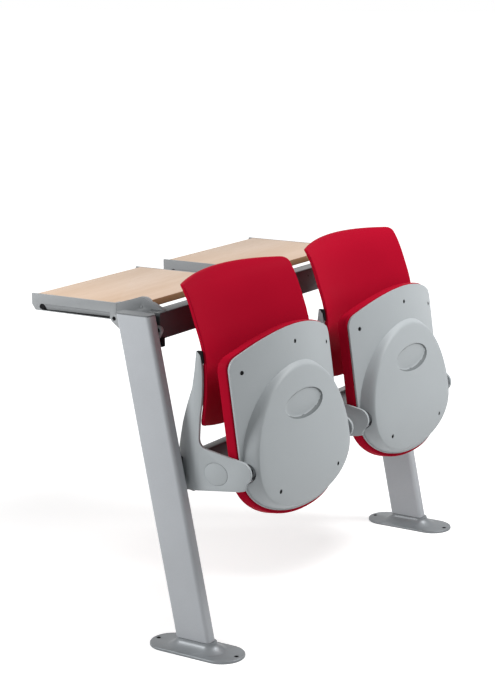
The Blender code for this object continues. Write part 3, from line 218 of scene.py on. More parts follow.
class LegSizes(PropertyGroup):
    """Sizes of the legs' profile and of the plugs in the upper beam."""
    depth: metres("Profile from front to rear in the part", 0.094)
    trim: metres("Rounded profile inside that depth at each end", 0.0025)
    corner: metres("Radius of the profile's corners", 0.009)
    plate: metres("Thickness of the plate on top", 0.0027)
    beam_wall: metres("Wall of the beam round its plug", 0.0027)
    plug: metres("Thickness of the plug", 0.003)
    plug_sink: metres("Plug behind the beam's end", 0.001)


class DeskSizes(PropertyGroup):
    """Sizes of the side slots in the arms of a writing top, with a black strip and a round black piece in
    each, painted shade in the deep slot.
    """
    slot_start: metres("Behind the hinge axis", 0.0865)
    slot_end: metres("Before the arm's rear end", 0.0215)
    slot_rise: metres("Above the arm's lower edge", 0.0015)
    slot_height: metres("Height of the slot", 0.0145)
    # Black strip and round piece laid in the deep slot as painted shade
    strip: metres("Height at the rear end", 0.0015)
    shade_strip_front: metres("Height at the front end", 0.004)
    shade_strip_lift: metres("Above the floor of the slot", 0.0002)
    shade_strip_depth: metres("Behind the face of the arm", 0.0008)
    shade_strip_width: metres("Along the row", 0.003)
    shade_plug_depth: metres("Behind the face of the arm", 0.002)
    shade_plug_length: metres("Along the row", 0.008)
    play: metres("Gap round the plug and before the strip", 0.0005)


class EdgeSizes(PropertyGroup):
    """Edge radii of the nodes that are carried over."""
    spring: metres("Springs of the seats", 0.0002)
    pin: metres("Hinge pins of the writing tops", 0.0003)
    fine: metres("Beams, bolts, axles and covers of the arms", 0.0004)
    bearing: metres("Bearing blocks of the seats", 0.0006)
    desk: metres("Writing tops with arms and hinges, and end blocks", 0.0008)
    casting: metres("Brackets and clamps", 0.0010)
    arm: metres("Chair arms", 0.0012)


class Finishes(PropertyGroup):
    """Colours of the finishes."""
    silver: colour("Legs", (0.418, 0.438, 0.462))
    # The legs' silver, glossier on the feet and darkened there as painted shade
    cast: colour("Feet", (0.200, 0.215, 0.228))
    # Grey of the desk arms; the silver brackets take it as painted shade
    grey_and_bracket_shade: colour("Brackets and desk arms", (0.28, 0.293, 0.302))
    # The grey of the desk castings darkened as painted shade
    hinge: colour("Desk hinges and plates on the legs", (0.175, 0.185, 0.192))
    charcoal: colour("Beams and clamps", (0.070, 0.075, 0.079))
    grey: colour("Under-shells and chair arms", (0.395, 0.425, 0.440))
    # Darker grey laid on the wall of the finger recess as painted shade
    grip: colour("Wall of the finger recess", (0.17, 0.185, 0.19))
    red: colour("Backs and upper shells", (0.395, 0.005, 0.022))
    maple: colour("Light figure of the writing tops", (0.625, 0.468, 0.355))
    maple_dark: colour("Dark figure of the writing tops", (0.55, 0.385, 0.262))
    board_edge: colour("Edges of the writing tops", (0.30, 0.17, 0.085))
    steel: colour("Axles and springs", (0.58, 0.58, 0.60))
    # Also the black strip and round piece that paint shade into the desk slots
    # The pads here are the dark wedges laid on the arms beside the backs
    black: colour("Blocks, bolts, plugs, pads and screws", (0.010, 0.010, 0.011))


class StudioSettings(PropertyGroup):
    """Camera place, light and floor."""
    camera: location("From the middle of the feet", (-3.4501, -2.0281, 1.4887))
    azimuth: degrees("Direction of view round the bench", -57.299)
    elevation: degrees("Camera above the horizon", 12.786)
    roll: degrees("Turn of the picture", -0.547)
    key_place: location("Lamp over the right front", (0.8, -1.3, 2.2))
    key_size: metres("Side of the square lamp", 0.9)
    key_power: share("Watts", 45.0)
    side_place: location("Lamp behind the left leg", (-1.6, 0.9, 1.5))
    side_size: metres("Side of the square lamp", 0.6)
    side_power: share("Watts", 27.0)
    sky: share("Light from all round", 0.24)
    floor_reach: metres("From the middle to the edges", 40.0)
    floor_lift: share("Own brightness of the floor under the bench, in the picture", 0.45)
    lift_start: metres("Distance at which the floor starts to get brighter", 0.9)
    lift_end: metres("Distance at which the floor is white by itself", 2.6)


# Mesh helpers

def arc(centre, radius, start, end, steps):
    """Points on an arc from one angle to another, in degrees."""
    points = []
    for step in range(steps + 1):
        angle = math.radians(start + (end - start) * step / steps)
        points.append((centre[0] + radius * math.cos(angle), centre[1] + radius * math.sin(angle)))
    return points


def circle(middle, turn, radius, sides, up=0.0):
    """Points of a circle round a turned axis, at a height above its middle."""
    return [middle + turn @ Vector((x, y, up)) for x, y in arc((0, 0), radius, 0, 360, sides)[:-1]]


def curve_value(knots, position):
    """Value of a smooth curve through (position, value) knots."""
    index = 0
    while index < len(knots) - 2 and position > knots[index + 1][0]:
        index += 1

    def slope(at):
        before = knots[max(at - 1, 0)]
        after = knots[min(at + 1, len(knots) - 1)]
        return (after[1] - before[1]) / (after[0] - before[0])

    (start, low), (end, high) = knots[index], knots[index + 1]
    span = end - start
    part = min(max((position - start) / span, 0.0), 1.0)
    first, last = slope(index) * span, slope(index + 1) * span
    bend = (1 + 2 * part) * (1 - part) ** 2 * low + (3 - 2 * part) * part ** 2 * high
    return bend + part * (1 - part) ** 2 * first - part ** 2 * (1 - part) * last


def skin(loops, body=None):
    """Closed body through loops of equal length, new or added to another body."""
    if body is None:
        body = bmesh.new()
    rings = [[body.verts.new(point) for point in loop] for loop in loops]
    for lower, upper in zip(rings, rings[1:]):
        for index, corner in enumerate(lower):
            after = (index + 1) % len(lower)
            body.faces.new((corner, lower[after], upper[after], upper[index]))
    body.faces.new(reversed(rings[0]))
    body.faces.new(rings[-1])
    return body


def rod(start, end, radius, sides=32):
    """Cylinder between two points."""
    start, end = Vector(start), Vector(end)
    turn = (end - start).to_track_quat("Z", "Y")
    return skin([circle(middle, turn, radius, sides) for middle in (start, end)])


def slab(outline, face, depth):
    """Body between two copies of a (y, z) outline, from a face along the row."""
    return skin([[(x, y, z) for y, z in outline] for x in (face, face + depth)])


def screw_body(places, radius, thickness):
    """Low round screw heads with a driver recess, as (place, outward direction) pairs."""
    body = bmesh.new()
    for place, outward in places:
        turn = outward.to_track_quat("Z", "Y")
        skin([circle(place, turn, across * radius, 18, up * thickness) for across, up in SCREW_PROFILE], body)
    return body


def mirrored(right_half):
    """Whole outline from its right half, which starts and ends on the middle line."""
    return right_half + [(-x, value) for x, value in right_half[-2:0:-1]]


def ring_parts():
    """Parts of the way from a shell's middle to its outline at which its face has rings."""
    first, last, steps = 0.04, 0.94, 12
    return [first + (last - first) * step / steps for step in range(steps + 1)]


def loose_object(name, body):
    """Object from a body, with its faces pointing out."""
    bmesh.ops.recalc_face_normals(body, faces=body.faces[:])
    mesh = bpy.data.meshes.new(name)
    body.to_mesh(mesh)
    body.free()
    made = bpy.data.objects.new(name, mesh)
    bpy.context.scene.collection.objects.link(made)
    return made


def cut(body, tools):
    """Body with each tool taken away."""
    base = loose_object("base", body)
    knives = [loose_object("knife", tool) for tool in tools]
    for knife in knives:
        boolean = base.modifiers.new("cut", "BOOLEAN")
        boolean.object = knife
    result = bmesh.new()
    result.from_object(base, bpy.context.evaluated_depsgraph_get())
    for temporary in [base] + knives:
        bpy.data.objects.remove(temporary)
    return result


def add_piece(name, body, material, rider, nodes=(), place=None):
    """Piece on a CAD body, shaded smooth except at sharp edges."""
    if place is not None:
        bmesh.ops.transform(body, matrix=place, verts=body.verts[:])
    piece = loose_object(name, body)
    piece.data.materials.append(material)
    piece.data.shade_smooth()
    piece.data.set_sharp_from_angle(angle=SHARP_ANGLE)
    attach(piece, rider)
    if nodes:
        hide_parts(*nodes)
    return piece


# Node helpers

def fill_inputs(tree, node, inputs):
    """Give the inputs of a node their values, or links from sockets."""
    for name, value in inputs.items():
        if isinstance(value, bpy.types.NodeSocket):
            tree.links.new(value, node.inputs[name])
        else:
            node.inputs[name].default_value = value


def add_node(tree, kind, inputs=None, **settings):
    """Node with its settings and inputs."""
    made = tree.nodes.new(kind)
    for name, value in settings.items():
        setattr(made, name, value)
    fill_inputs(tree, made, inputs or {})
    return made


def math_node(tree, operation, *values):
    """Output of a math node."""
    return add_node(tree, "ShaderNodeMath", dict(enumerate(values)), operation=operation).outputs[0]


def mix_colours(tree, factor, first, second):
    """Output of a colour mix."""
    mixed = add_node(tree, "ShaderNodeMix", {0: factor, 6: first, 7: second}, data_type="RGBA")
    return mixed.outputs[2]


def spread(tree, value, low, high, span=NOISE_SPAN):
    """Output that runs from low to high while a value runs over its span."""
    made = add_node(tree, "ShaderNodeMapRange", {"Value": value, "From Min": span[0], "From Max": span[1],
                                                 "To Min": low, "To Max": high})
    return made.outputs["Result"]


def noise(tree, place, scale, detail, distortion=0.0):
    """Output of a noise texture."""
    made = add_node(tree, "ShaderNodeTexNoise", {"Vector": place, "Scale": scale, "Detail": detail,
                                                 "Distortion": distortion})
    return made.outputs["Fac"]


def bump(tree, height, strength, distance):
    """Normal from a height that varies over the surface."""
    made = add_node(tree, "ShaderNodeBump", {"Height": height, "Strength": strength, "Distance": distance})
    return made.outputs["Normal"]


# Softened edges on carried-over nodes

def shading_group():
    """Modifier group that shades smooth except at sharp edges."""
    group = bpy.data.node_groups.get("shade_by_angle")
    if group is not None:
        return group
    group = bpy.data.node_groups.new("shade_by_angle", "GeometryNodeTree")
    for direction in ("INPUT", "OUTPUT"):
        group.interface.new_socket("Geometry", in_out=direction, socket_type="NodeSocketGeometry")
    start = add_node(group, "NodeGroupInput").outputs[0]
    plain = add_node(group, "GeometryNodeRemoveAttribute", {"Geometry": start, "Name": "custom_normal"})
    faces = add_node(group, "GeometryNodeSetShadeSmooth", {"Geometry": plain.outputs[0]})
    angle = add_node(group, "GeometryNodeInputMeshEdgeAngle").outputs["Unsigned Angle"]
    flat = add_node(group, "FunctionNodeCompare", {"A": angle, "B": SHARP_ANGLE}, operation="LESS_THAN")
    edges = add_node(group, "GeometryNodeSetShadeSmooth",
                     {"Geometry": faces.outputs[0], "Shade Smooth": flat.outputs[0]}, domain="EDGE")
    add_node(group, "NodeGroupOutput", {0: edges.outputs[0]})
    return group


def soften(node, radius):
    """Round the sharp edges of a carried-over node with modifiers."""
    weld = node.modifiers.new("weld", "WELD")
    weld.merge_threshold = 0.00001
    planar = node.modifiers.new("planar", "DECIMATE")
    planar.decimate_type = "DISSOLVE"
    planar.angle_limit = math.radians(1)
    bevel = node.modifiers.new("soft_edge", "BEVEL")
    bevel.width = radius
    bevel.segments = 2
    bevel.limit_method = "ANGLE"
    bevel.angle_limit = math.radians(40)
    shading = node.modifiers.new("shading", "NODES")
    shading.node_group = shading_group()


def dress(material, radius, *names):
    """Give carried-over nodes a finish and softened edges."""
    for name in names:
        node = frame["nodes"][name]
        node.material_slots[0].material = material
        soften(node, radius)


# Finishes

def new_group(name, control, outputs):
    """Empty shader group, the output of its one control, and its end node."""
    group = bpy.data.node_groups.new(name, "ShaderNodeTree")
    group.interface.new_socket(control, in_out="INPUT", socket_type="NodeSocketFloat")
    for socket in outputs:
        group.interface.new_socket(socket, in_out="OUTPUT", socket_type="NodeSocketFloat")
    return group, group.nodes.new("NodeGroupInput").outputs[0], group.nodes.new("NodeGroupOutput")


def surface_grain_group():
    """Fine grain and broad clouding of a coated or moulded surface, fixed to the piece."""
    group = bpy.data.node_groups.get("surface_grain")
    if group is not None:
        return group
    group, cells, end = new_group("surface_grain", "Cells per metre", ["Grain", "Clouding"])
    place = add_node(group, "ShaderNodeTexCoord").outputs["Object"]
    fill_inputs(group, end, {"Grain": noise(group, place, scale=cells, detail=2.0),
                             "Clouding": noise(group, place, scale=7.0, detail=4.0)})
    return group


def veneer_group():
    """Figure, pores and edge mask of a veneered board with its grain along the row."""
    group, bands, end = new_group("veneer_figure", "Bands per metre", ["Figure", "Pores", "Edge"])
    coordinates = add_node(group, "ShaderNodeTexCoord").outputs
    along_row = add_node(group, "ShaderNodeMapping", {"Vector": coordinates["Object"],
                                                      "Scale": (0.06, 1.0, 1.0)})
    grain = along_row.outputs[0]
    normal = add_node(group, "ShaderNodeSeparateXYZ", {"Vector": coordinates["Normal"]})
    upright = math_node(group, "ABSOLUTE", normal.outputs["Z"])
    edge_limit = 0.6    # a face with a less upright normal is an edge
    fill_inputs(group, end, {"Figure": noise(group, grain, scale=bands, detail=5.0, distortion=0.6),
                             "Pores": noise(group, grain, scale=420.0, detail=2.0),
                             "Edge": math_node(group, "LESS_THAN", upright, edge_limit)})
    return group


def new_material(name):
    """Material with a node tree, and its Principled shader."""
    material = bpy.data.materials.new(name)
    material.use_nodes = True
    return material, material.node_tree, material.node_tree.nodes["Principled BSDF"]


def grained_material(name, tint, cells=1500.0, contrast=0.10, rough=(0.42, 0.50), depth=0.10, specular=0.3,
                     metallic=0.0):
    """Coated or moulded finish: tint with grain and clouding, roughness range and a fine bump."""
    made = bpy.data.materials.get(name)
    if made is not None:
        return made
    material, tree, shader = new_material(name)
    grain = add_node(tree, "ShaderNodeGroup", {"Cells per metre": cells}, node_tree=surface_grain_group())
    dark = (*(channel * (1 - contrast) for channel in tint), 1.0)
    light = (*(min(channel * (1 + contrast), 1.0) for channel in tint), 1.0)
    cloud_share = 0.4
    clouding = math_node(tree, "MULTIPLY", grain.outputs["Clouding"], cloud_share)
    amount = math_node(tree, "MULTIPLY_ADD", grain.outputs["Grain"], 1 - cloud_share, clouding)
    fill_inputs(tree, shader, {
        "Base Color": mix_colours(tree, spread(tree, amount, 0.0, 1.0), dark, light),
        "Roughness": spread(tree, grain.outputs["Clouding"], *rough),
        "Normal": bump(tree, grain.outputs["Grain"], strength=depth, distance=0.0004),
        "Specular IOR Level": specular,
        "Metallic": metallic})
    return material


def finishes():
    """Colour settings of the scene."""
    return bpy.context.scene.bench_finishes


def silver_paint():
    """Silver powder coat with a fine metal flake."""
    return grained_material("silver_finish", finishes().silver, specular=0.25, metallic=0.1)


def shaded_foot_metal():
    """Satin cast metal of the feet: glossier than the legs' silver, and darker as painted shade."""
    return grained_material("shaded_foot_finish", finishes().cast, rough=(0.38, 0.46), depth=0.12, specular=0.5,
                            metallic=0.3)


def grey_and_bracket_shade_paint():
    """Grey powder coat of the desk castings, also put on the silver brackets as painted shade."""
    return grained_material("grey_and_bracket_shade_finish", finishes().grey_and_bracket_shade, contrast=0.08)


def shaded_grey_paint():
    """Grey powder coat of the desk castings darkened as painted shade, for the desk hinges and the plates on
    the legs.
    """
    return grained_material("shaded_grey_finish", finishes().hinge, contrast=0.08)


def charcoal_paint():
    """Charcoal powder coat."""
    return grained_material("charcoal_finish", finishes().charcoal, cells=1200.0, contrast=0.16,
                            rough=(0.24, 0.32), depth=0.16, specular=0.45)


def grey_plastic():
    """Matte grey moulding with a fine spark texture."""
    return grained_material("grey_moulding", finishes().grey, cells=1800.0, contrast=0.05,
                            rough=(0.48, 0.56), depth=0.14, specular=0.35)


def recess_shade_plastic():
    """Coarser texture in the wall of the finger recess, darker as painted shade."""
    return grained_material("recess_shade_moulding", finishes().grip, cells=700.0, rough=(0.55, 0.65), depth=0.25,
                            specular=0.2)


def red_plastic():
    """Satin red moulding."""
    return grained_material("red_moulding", finishes().red, cells=1300.0, contrast=0.06,
                            rough=(0.34, 0.42), depth=0.06, specular=0.004)


def bright_steel():
    """Zinc-plated steel."""
    return grained_material("steel_finish", finishes().steel, cells=2500.0, contrast=0.08,
                            rough=(0.24, 0.34), depth=0.05, specular=0.5, metallic=1.0)


def black_plastic():
    """Matte black moulding."""
    return grained_material("black_moulding", finishes().black, cells=1400.0, contrast=0.12,
                            rough=(0.50, 0.60), specular=0.05)


def maple_veneer():
    """Lacquered maple veneer with darker board edges."""
    made = bpy.data.materials.get("maple_finish")
    if made is not None:
        return made
    tints = finishes()
    pale, dark, edge = ((*tint, 1.0) for tint in (tints.maple, tints.maple_dark, tints.board_edge))
    material, tree, shader = new_material("maple_finish")
    veneer = add_node(tree, "ShaderNodeGroup", {"Bands per metre": 26.0}, node_tree=veneer_group()).outputs
    figured = mix_colours(tree, spread(tree, veneer["Figure"], 0.0, 1.0), pale, dark)
    pored = mix_colours(tree, spread(tree, veneer["Pores"], 0.0, 0.35), figured, dark)
    fill_inputs(tree, shader, {
        "Base Color": mix_colours(tree, veneer["Edge"], pored, edge),
        "Roughness": spread(tree, veneer["Pores"], 0.36, 0.46),
        "Normal": bump(tree, veneer["Pores"], strength=0.08, distance=0.0003),
        "Specular IOR Level": 0.4})
    return material


# Backs

def back_outline(sizes):
    """Front view of a back shell, from its top middle."""
    top_half, half = sizes.top_width / 2, sizes.width / 2
    top_x, low_x = top_half - sizes.top_corner, half - sizes.bottom_corner

    def top_z(x):
        return sizes.top - sizes.arch * (x / top_half) ** 2

    def bottom_z(x):
        return sizes.bottom + sizes.bottom_arch * (x / half) ** 2

    high, low = top_z(top_x) - sizes.top_corner, bottom_z(low_x) + sizes.bottom_corner
    steps = 16
    points = [(top_x * step / steps, top_z(top_x * step / steps)) for step in range(steps)]
    points += arc((top_x, high), sizes.top_corner, 90, 0, 12)
    for step in range(1, 2 * steps):
        z = high + (low - high) * step / (2 * steps)
        taper = max(z - sizes.taper_start, 0.0) / (high - sizes.taper_start)
        points.append((half + (top_half - half) * taper ** sizes.taper_power, z))
    points += arc((low_x, low), sizes.bottom_corner, 0, -90, 12)
    for step in range(1, steps + 1):
        x = low_x * (1 - step / steps)
        points.append((x, bottom_z(x)))
    return mirrored(points)


def back_front(sizes, x, z):
    """Setback of a back's front face."""
    rise = (z - sizes.bottom) / (sizes.top - sizes.bottom)
    hollow = sizes.hollow_bottom + (sizes.hollow_top - sizes.hollow_bottom) * rise
    return curve_value(BACK_EDGE, z) + hollow * (1 - (2 * x / sizes.width) ** 2)


def back_body(sizes):
    """Curved shell with a rim that is round in front and nearly square behind."""
    outline = back_outline(sizes)
    middle = (sizes.top + sizes.bottom) / 2

    def loop(part, inset, depth):
        points = []
        for x, z in outline:
            shrink = part - inset / math.hypot(x, z - middle)
            at_x, at_z = x * shrink, middle + (z - middle) * shrink
            points.append((at_x, back_front(sizes, at_x, at_z) + depth, at_z))
        return points

    loops = [loop(part, 0.0, 0.0) for part in ring_parts()]
    rim = [(sizes.front_round, point) for point in arc((0, sizes.front_round), sizes.front_round, -90, 0, 8)]
    rear_middle = (0, sizes.thickness - sizes.rear_round)
    rim += [(sizes.rear_round, point) for point in arc(rear_middle, sizes.rear_round, 0, 90, 3)]
    for radius, (sideways, depth) in rim:
        loops.append(loop(1.0, radius - sideways, depth))
    loops += [loop(part, 0.0, sizes.thickness) for part in reversed(ring_parts())]
    return skin(loops)


def dark_wedge_body(sizes, arm, side, axis):
    """Dark wedge between a back and the upper end of an arm."""
    low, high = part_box(arm)
    face = (low.x if side < 0 else high.x) + side * sizes.wedge_proud
    top = high.z
    gap = sizes.thickness - sizes.wedge_lead
    levels = (top, top - sizes.wedge_turn, top - sizes.wedge_height)
    front = [(axis.y + curve_value(BACK_EDGE, z - axis.z) + gap, z) for z in levels]
    (top_y, _), (turn_y, turn_z), _ = front
    rear = [(turn_y + sizes.wedge_waist, turn_z), (top_y + sizes.wedge_depth, top)]
    return slab(front + rear, face, -side * sizes.wedge_width)


# Seats

def seat_outline(sizes, inset, rear_inset):
    """Plan of a seat, drawn in by two insets: (x, forward) from the front middle."""
    half = sizes.width / 2 - inset
    front, rear = sizes.front - inset, sizes.rear - rear_inset
    corner_x = half - sizes.corner
    lean = math.atan(2 * sizes.arch * corner_x / half ** 2)
    end_x = corner_x + sizes.corner * math.sin(lean)
    front_steps, side_steps, rear_steps = 14, 10, 26
    points = []
    for step in range(front_steps):
        x = end_x * step / front_steps
        points.append((x, front - sizes.arch * (x / half) ** 2))
    corner_y = front - sizes.arch * (end_x / half) ** 2 - sizes.corner * math.cos(lean)
    points += arc((corner_x, corner_y), sizes.corner, 90 - math.degrees(lean), 0, side_steps)
    for step in range(1, side_steps):
        points.append((half, corner_y * (1 - step / side_steps)))
    fullness = 2 / sizes.fullness
    for across, back in arc((0, 0), 1, 0, -90, rear_steps):
        points.append((half * abs(across) ** fullness, -rear * abs(back) ** fullness))
    return mirrored(points)


def flange_z(sizes, x, forward):
    """Underside of a seat without its bulge: a dish, deeper towards the front."""
    along = (forward + sizes.rear) / (sizes.front + sizes.rear)
    dish = sizes.dish_rear + (sizes.dish_front - sizes.dish_rear) * along
    return sizes.rim - dish * (1 - (2 * x / sizes.width) ** 2)


def bulge_spread(sizes, bulge, x, forward):
    """1 on the edge of the egg-shaped bulge, less inside it."""
    reach, power = (bulge.front, 2) if forward > 0 else (bulge.rear, sizes.fullness)
    return (abs(2 * x / bulge.width) ** power + abs(forward / reach) ** power) ** (1 / power)


def recess_spread(bulge, x, forward):
    """1 on the edge of the finger recess, less inside it."""
    return math.hypot(2 * x / bulge.recess_width, 2 * (forward - bulge.recess_forward) / bulge.recess_height)


def wall_rise(straight, climb):
    """Height of the bulge's side wall: straight at first, then rounded over to the face."""
    slope = 2 / (1 + straight)
    if climb < straight:
        return slope * climb
    return 1 - slope * (1 - climb) ** 2 / (2 * (1 - straight))


def shell_z(sizes, bulge, x, forward):
    """Underside of a seat: flange, bulge and finger recess."""
    flange = flange_z(sizes, x, forward)
    reach = bulge_spread(sizes, bulge, x, forward)
    climb = min(max((1 - reach) / bulge.shoulder, 0.0), 1.0)
    rear_rise = bulge.rear_rise * (min(forward, 0.0) / sizes.rear) ** 2
    face = min(bulge.crown * (2 * x / bulge.width) ** 2 - bulge.face + rear_rise, flange)
    height = flange + (face - flange) * wall_rise(bulge.straight, climb)
    hollow = max(1 - recess_spread(bulge, x, forward) ** bulge.recess_fullness, 0.0)
    down = min(max(0.5 - (forward - bulge.recess_forward) / bulge.recess_height, 0.0), 1.0)
    scoop = bulge.recess_shallow + (1 - bulge.recess_shallow) * down
    return height + bulge.recess_depth * scoop * hollow


def seat_ring(bulge, outline, shares, height):
    """Ring between the middle of the finger recess (share 0) and the outline (share 1)."""
    ring = []
    for (x, forward), part in zip(outline, shares):
        at_x = x * part
        at_forward = bulge.recess_forward + (forward - bulge.recess_forward) * part
        ring.append((at_x, -at_forward, height(at_x, at_forward)))
    return ring


def share_at(bulge, point, level, measure):
    """Share of the ray to an outline point at which a measure reaches a level, found by halving."""
    low, high = 0.0, 1.0
    halvings = 24
    for _ in range(halvings):
        middle = (low + high) / 2
        x = point[0] * middle
        forward = bulge.recess_forward + (point[1] - bulge.recess_forward) * middle
        if measure(x, forward) < level:
            low = middle
        else:
            high = middle
    return low


def shell_shares(sizes, bulge, outline):
    """Shares of the rings that follow the recess, the bulge's shoulder and the outline."""
    def between(first, second, parts):
        return [[near + (far - near) * part for near, far in zip(first, second)] for part in parts]

    recess, egg = partial(recess_spread, bulge), partial(bulge_spread, sizes, bulge)
    middle = [0.0] * len(outline)
    rim = [share_at(bulge, point, 1.0, recess) for point in outline]
    shoulder = [share_at(bulge, point, 1 - bulge.shoulder, egg) for point in outline]
    base = [share_at(bulge, point, 1.0, egg) for point in outline]
    edge = [1.0] * len(outline)
    # The rings stand closest where the surface bends most
    recess_parts = (0.1, 0.4, 0.65, 0.77, 0.84, 0.88, 0.91, 0.935, 0.96, 0.98, 1.0)
    face_parts = (0.1, 0.25, 0.4, 0.55, 0.7, 0.85, 1.0)
    wall_steps = 8
    wall_parts = [(1 - bulge.straight) * step / wall_steps for step in range(1, wall_steps + 1)] + [1.0]
    flange_parts = (0.3, 0.65, 1.0)
    rings = between(middle, rim, recess_parts) + between(rim, shoulder, face_parts)
    return rings + between(shoulder, base, wall_parts) + between(base, edge, flange_parts)


def screw_places(bulge):
    """(x, forward) of the screws in an under-shell."""
    places = [(0.0, bulge.front_screw)]
    for _, side in SIDES:
        places.append((side * bulge.corner_reach, bulge.corner_screw))
        places.append((side * bulge.rear_reach, -bulge.rear_screw))
    return places


def under_shell_body(sizes, bulge):
    """Tray with screw holes and a cut-out round each axle; the recess wall takes the second finish, a painted
    shade.
    """
    outline = seat_outline(sizes, sizes.inset, sizes.rear_inset)
    height = partial(shell_z, sizes, bulge)
    outer = [seat_ring(bulge, outline, shares, height) for shares in shell_shares(sizes, bulge, outline)]
    inner = [[(x, y, z + sizes.wall) for x, y, z in ring] for ring in reversed(outer)]
    drill = 0.1         # well past the shell on both sides
    knives = []
    for x, forward in screw_places(bulge):
        knives.append(rod((x, -forward, -drill), (x, -forward, drill), bulge.screw_hole, 20))
    for _, side in SIDES:
        knives.append(rod((side * bulge.notch_start, 0, 0), (side * sizes.width, 0, 0), bulge.notch))
    body = cut(skin(outer + inner), knives)
    # Steep faces in the finger recess take the second finish, which paints shade on them
    for face in body.faces:
        middle = face.calc_center_median()
        painted_shade_wall = abs(face.normal.z) < bulge.shade_wall_limit
        face.material_index = int(painted_shade_wall and recess_spread(bulge, middle.x, -middle.y) < 1.0)
    return body


def upper_shell_body(sizes, bulge):
    """Dished skin with a turned-down rim and rounded edges."""
    outline = seat_outline(sizes, 0.0, 0.0)

    def ring(part, inset, above_flange):
        def height(x, forward):
            return flange_z(sizes, x, forward) + above_flange

        shares = [part - inset / math.hypot(x, forward - bulge.recess_forward) for x, forward in outline]
        return seat_ring(bulge, outline, shares, height)

    low = sizes.wall + sizes.seating
    face = low + sizes.edge
    under_face = face - sizes.skin
    radius, low_radius = sizes.edge_round, sizes.edge_round / 2
    loops = [ring(part, 0.0, face) for part in ring_parts()]
    for sideways, up in arc((0, face - radius), radius, 90, 0, 6):
        loops.append(ring(1.0, radius - sideways, up))
    for sideways, up in arc((0, low + low_radius), low_radius, 0, -90, 4):
        loops.append(ring(1.0, low_radius - sideways, up))
    loops.append(ring(1.0, sizes.lip, low))
    loops.append(ring(1.0, sizes.lip, under_face))
    loops += [ring(part, 0.0, under_face) for part in (0.75, 0.5, 0.25, 0.04)]
    return skin(loops)


def seat_screws_body(sizes, bulge):
    """Heads of the screws that hold the two shells together."""
    heads = []
    for x, forward in screw_places(bulge):
        up = shell_z(sizes, bulge, x, forward) + bulge.screw_sink
        heads.append((Vector((x, -forward, up)), Vector((0, 0, -1))))
    return screw_body(heads, bulge.screw_hole * bulge.screw_fit, bulge.screw_head)


# Feet

def stadium(size_along, size_across, z):
    """Loop of an oblong with half-round ends along Y."""
    radius = size_across / 2
    reach = size_along / 2 - radius
    rear = arc((0, reach), radius, 0, 180, 28)
    front = arc((0, -reach), radius, 180, 360, 28)
    return [(x, y, z) for x, y in rear + front]


def anchor_places(sizes):
    """Y of the two anchor holes from the middle of a foot."""
    reach = (FOOT_HIGH.y - FOOT_LOW.y) / 2 - sizes.hole_inset
    return -reach, reach


def foot_body(sizes):
    """Floor plate that swells into a socket under the leg, with two anchor holes."""
    size = FOOT_HIGH - FOOT_LOW
    radius, chamfer = sizes.rounding, sizes.chamfer
    loops = [stadium(size.y - chamfer, size.x - chamfer, 0.0), stadium(size.y, size.x, chamfer)]
    for inward, up in arc((radius, sizes.plate - radius), radius, 180, 90, 5):
        loops.append(stadium(size.y - 2 * inward, size.x - 2 * inward, up))
    swell = size.z - sizes.plate
    steps = 12
    for step in range(steps + 1):
        part = step / steps
        run_out = 2 * sizes.spread * (1 - part) ** 2
        up = sizes.plate + swell * part
        loops.append(stadium(sizes.hump_length + run_out, sizes.hump_width + run_out, up))
    knives = [rod((0, y, -size.z), (0, y, size.z), sizes.hole, 24) for y in anchor_places(sizes)]
    return cut(skin(loops), knives)


def anchor_body(sizes):
    """Dark heads of the two floor anchors, sunk in the holes of a foot."""
    up = sizes.plate - sizes.anchor_sink
    heads = [(Vector((0, y, up)), Vector((0, 0, 1))) for y in anchor_places(sizes)]
    return screw_body(heads, sizes.hole * sizes.anchor_fit, sizes.anchor_head)


# Legs and beam ends

def oblong(middle, half_x, half_y, corner, z):
    """Loop of a rectangle with rounded corners."""
    x, y = half_x - corner, half_y - corner
    points = []
    for start, centre in ((0, (x, y)), (90, (-x, y)), (180, (-x, -y)), (270, (x, -y))):
        points += arc(centre, corner, start, start + 90, 10)
    return [(middle[0] + across, middle[1] + along, z) for across, along in points]


def leg_bodies(sizes, node):
    """Leaning leg with rounded corners in the box of the plain one, and the plate on top of it."""
    low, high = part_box(node)
    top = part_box(f"{node}_cap")[1].z
    middle, half = (low.x + high.x) / 2, sizes.depth / 2
    half_x, half_y = (high.x - low.x) / 2, half - sizes.trim
    foot, head = (middle, low.y + half), (middle, high.y - half)
    leg = [oblong(centre, half_x, half_y, sizes.corner, z) for centre, z in ((foot, low.z), (head, high.z))]
    plate = [oblong(head, half_x, half_y, sizes.corner, z) for z in (top - sizes.plate, top)]
    return skin(leg), skin(plate)


def beam_plug_body(sizes, side):
    """Plug that closes one end of the upper beam."""
    low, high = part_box("upper_beam")
    face = (low.x if side < 0 else high.x) - side * sizes.plug_sink
    wall = sizes.beam_wall
    corners = [(low.y + wall, low.z + wall), (high.y - wall, low.z + wall)]
    corners += [(high.y - wall, high.z - wall), (low.y + wall, high.z - wall)]
    return slab(corners, face, -side * sizes.plug)


# Slots of the writing tops

def slot_shade_filling(sizes, side, low, high, axis):
    """Black strip and round black piece that paint shade into the side slot of an arm, from the arm's box and
    its hinge axis.
    """
    outer = low.x if side < 0 else high.x
    floor = low.z + sizes.slot_rise
    bottom = floor + sizes.shade_strip_lift
    radius = sizes.slot_height / 2
    start, end = axis.y + sizes.slot_start + sizes.play, high.y - sizes.slot_end - radius
    outline = [(start, bottom), (end, bottom)]
    outline += [(end, bottom + sizes.strip), (start, bottom + sizes.shade_strip_front)]
    strip = slab(outline, outer - side * sizes.shade_strip_depth, -side * sizes.shade_strip_width)
    face = outer - side * sizes.shade_plug_depth
    back = face - side * sizes.shade_plug_length
    plug = rod((face, end, floor + radius), (back, end, floor + radius), radius - sizes.play)
    return strip, plug


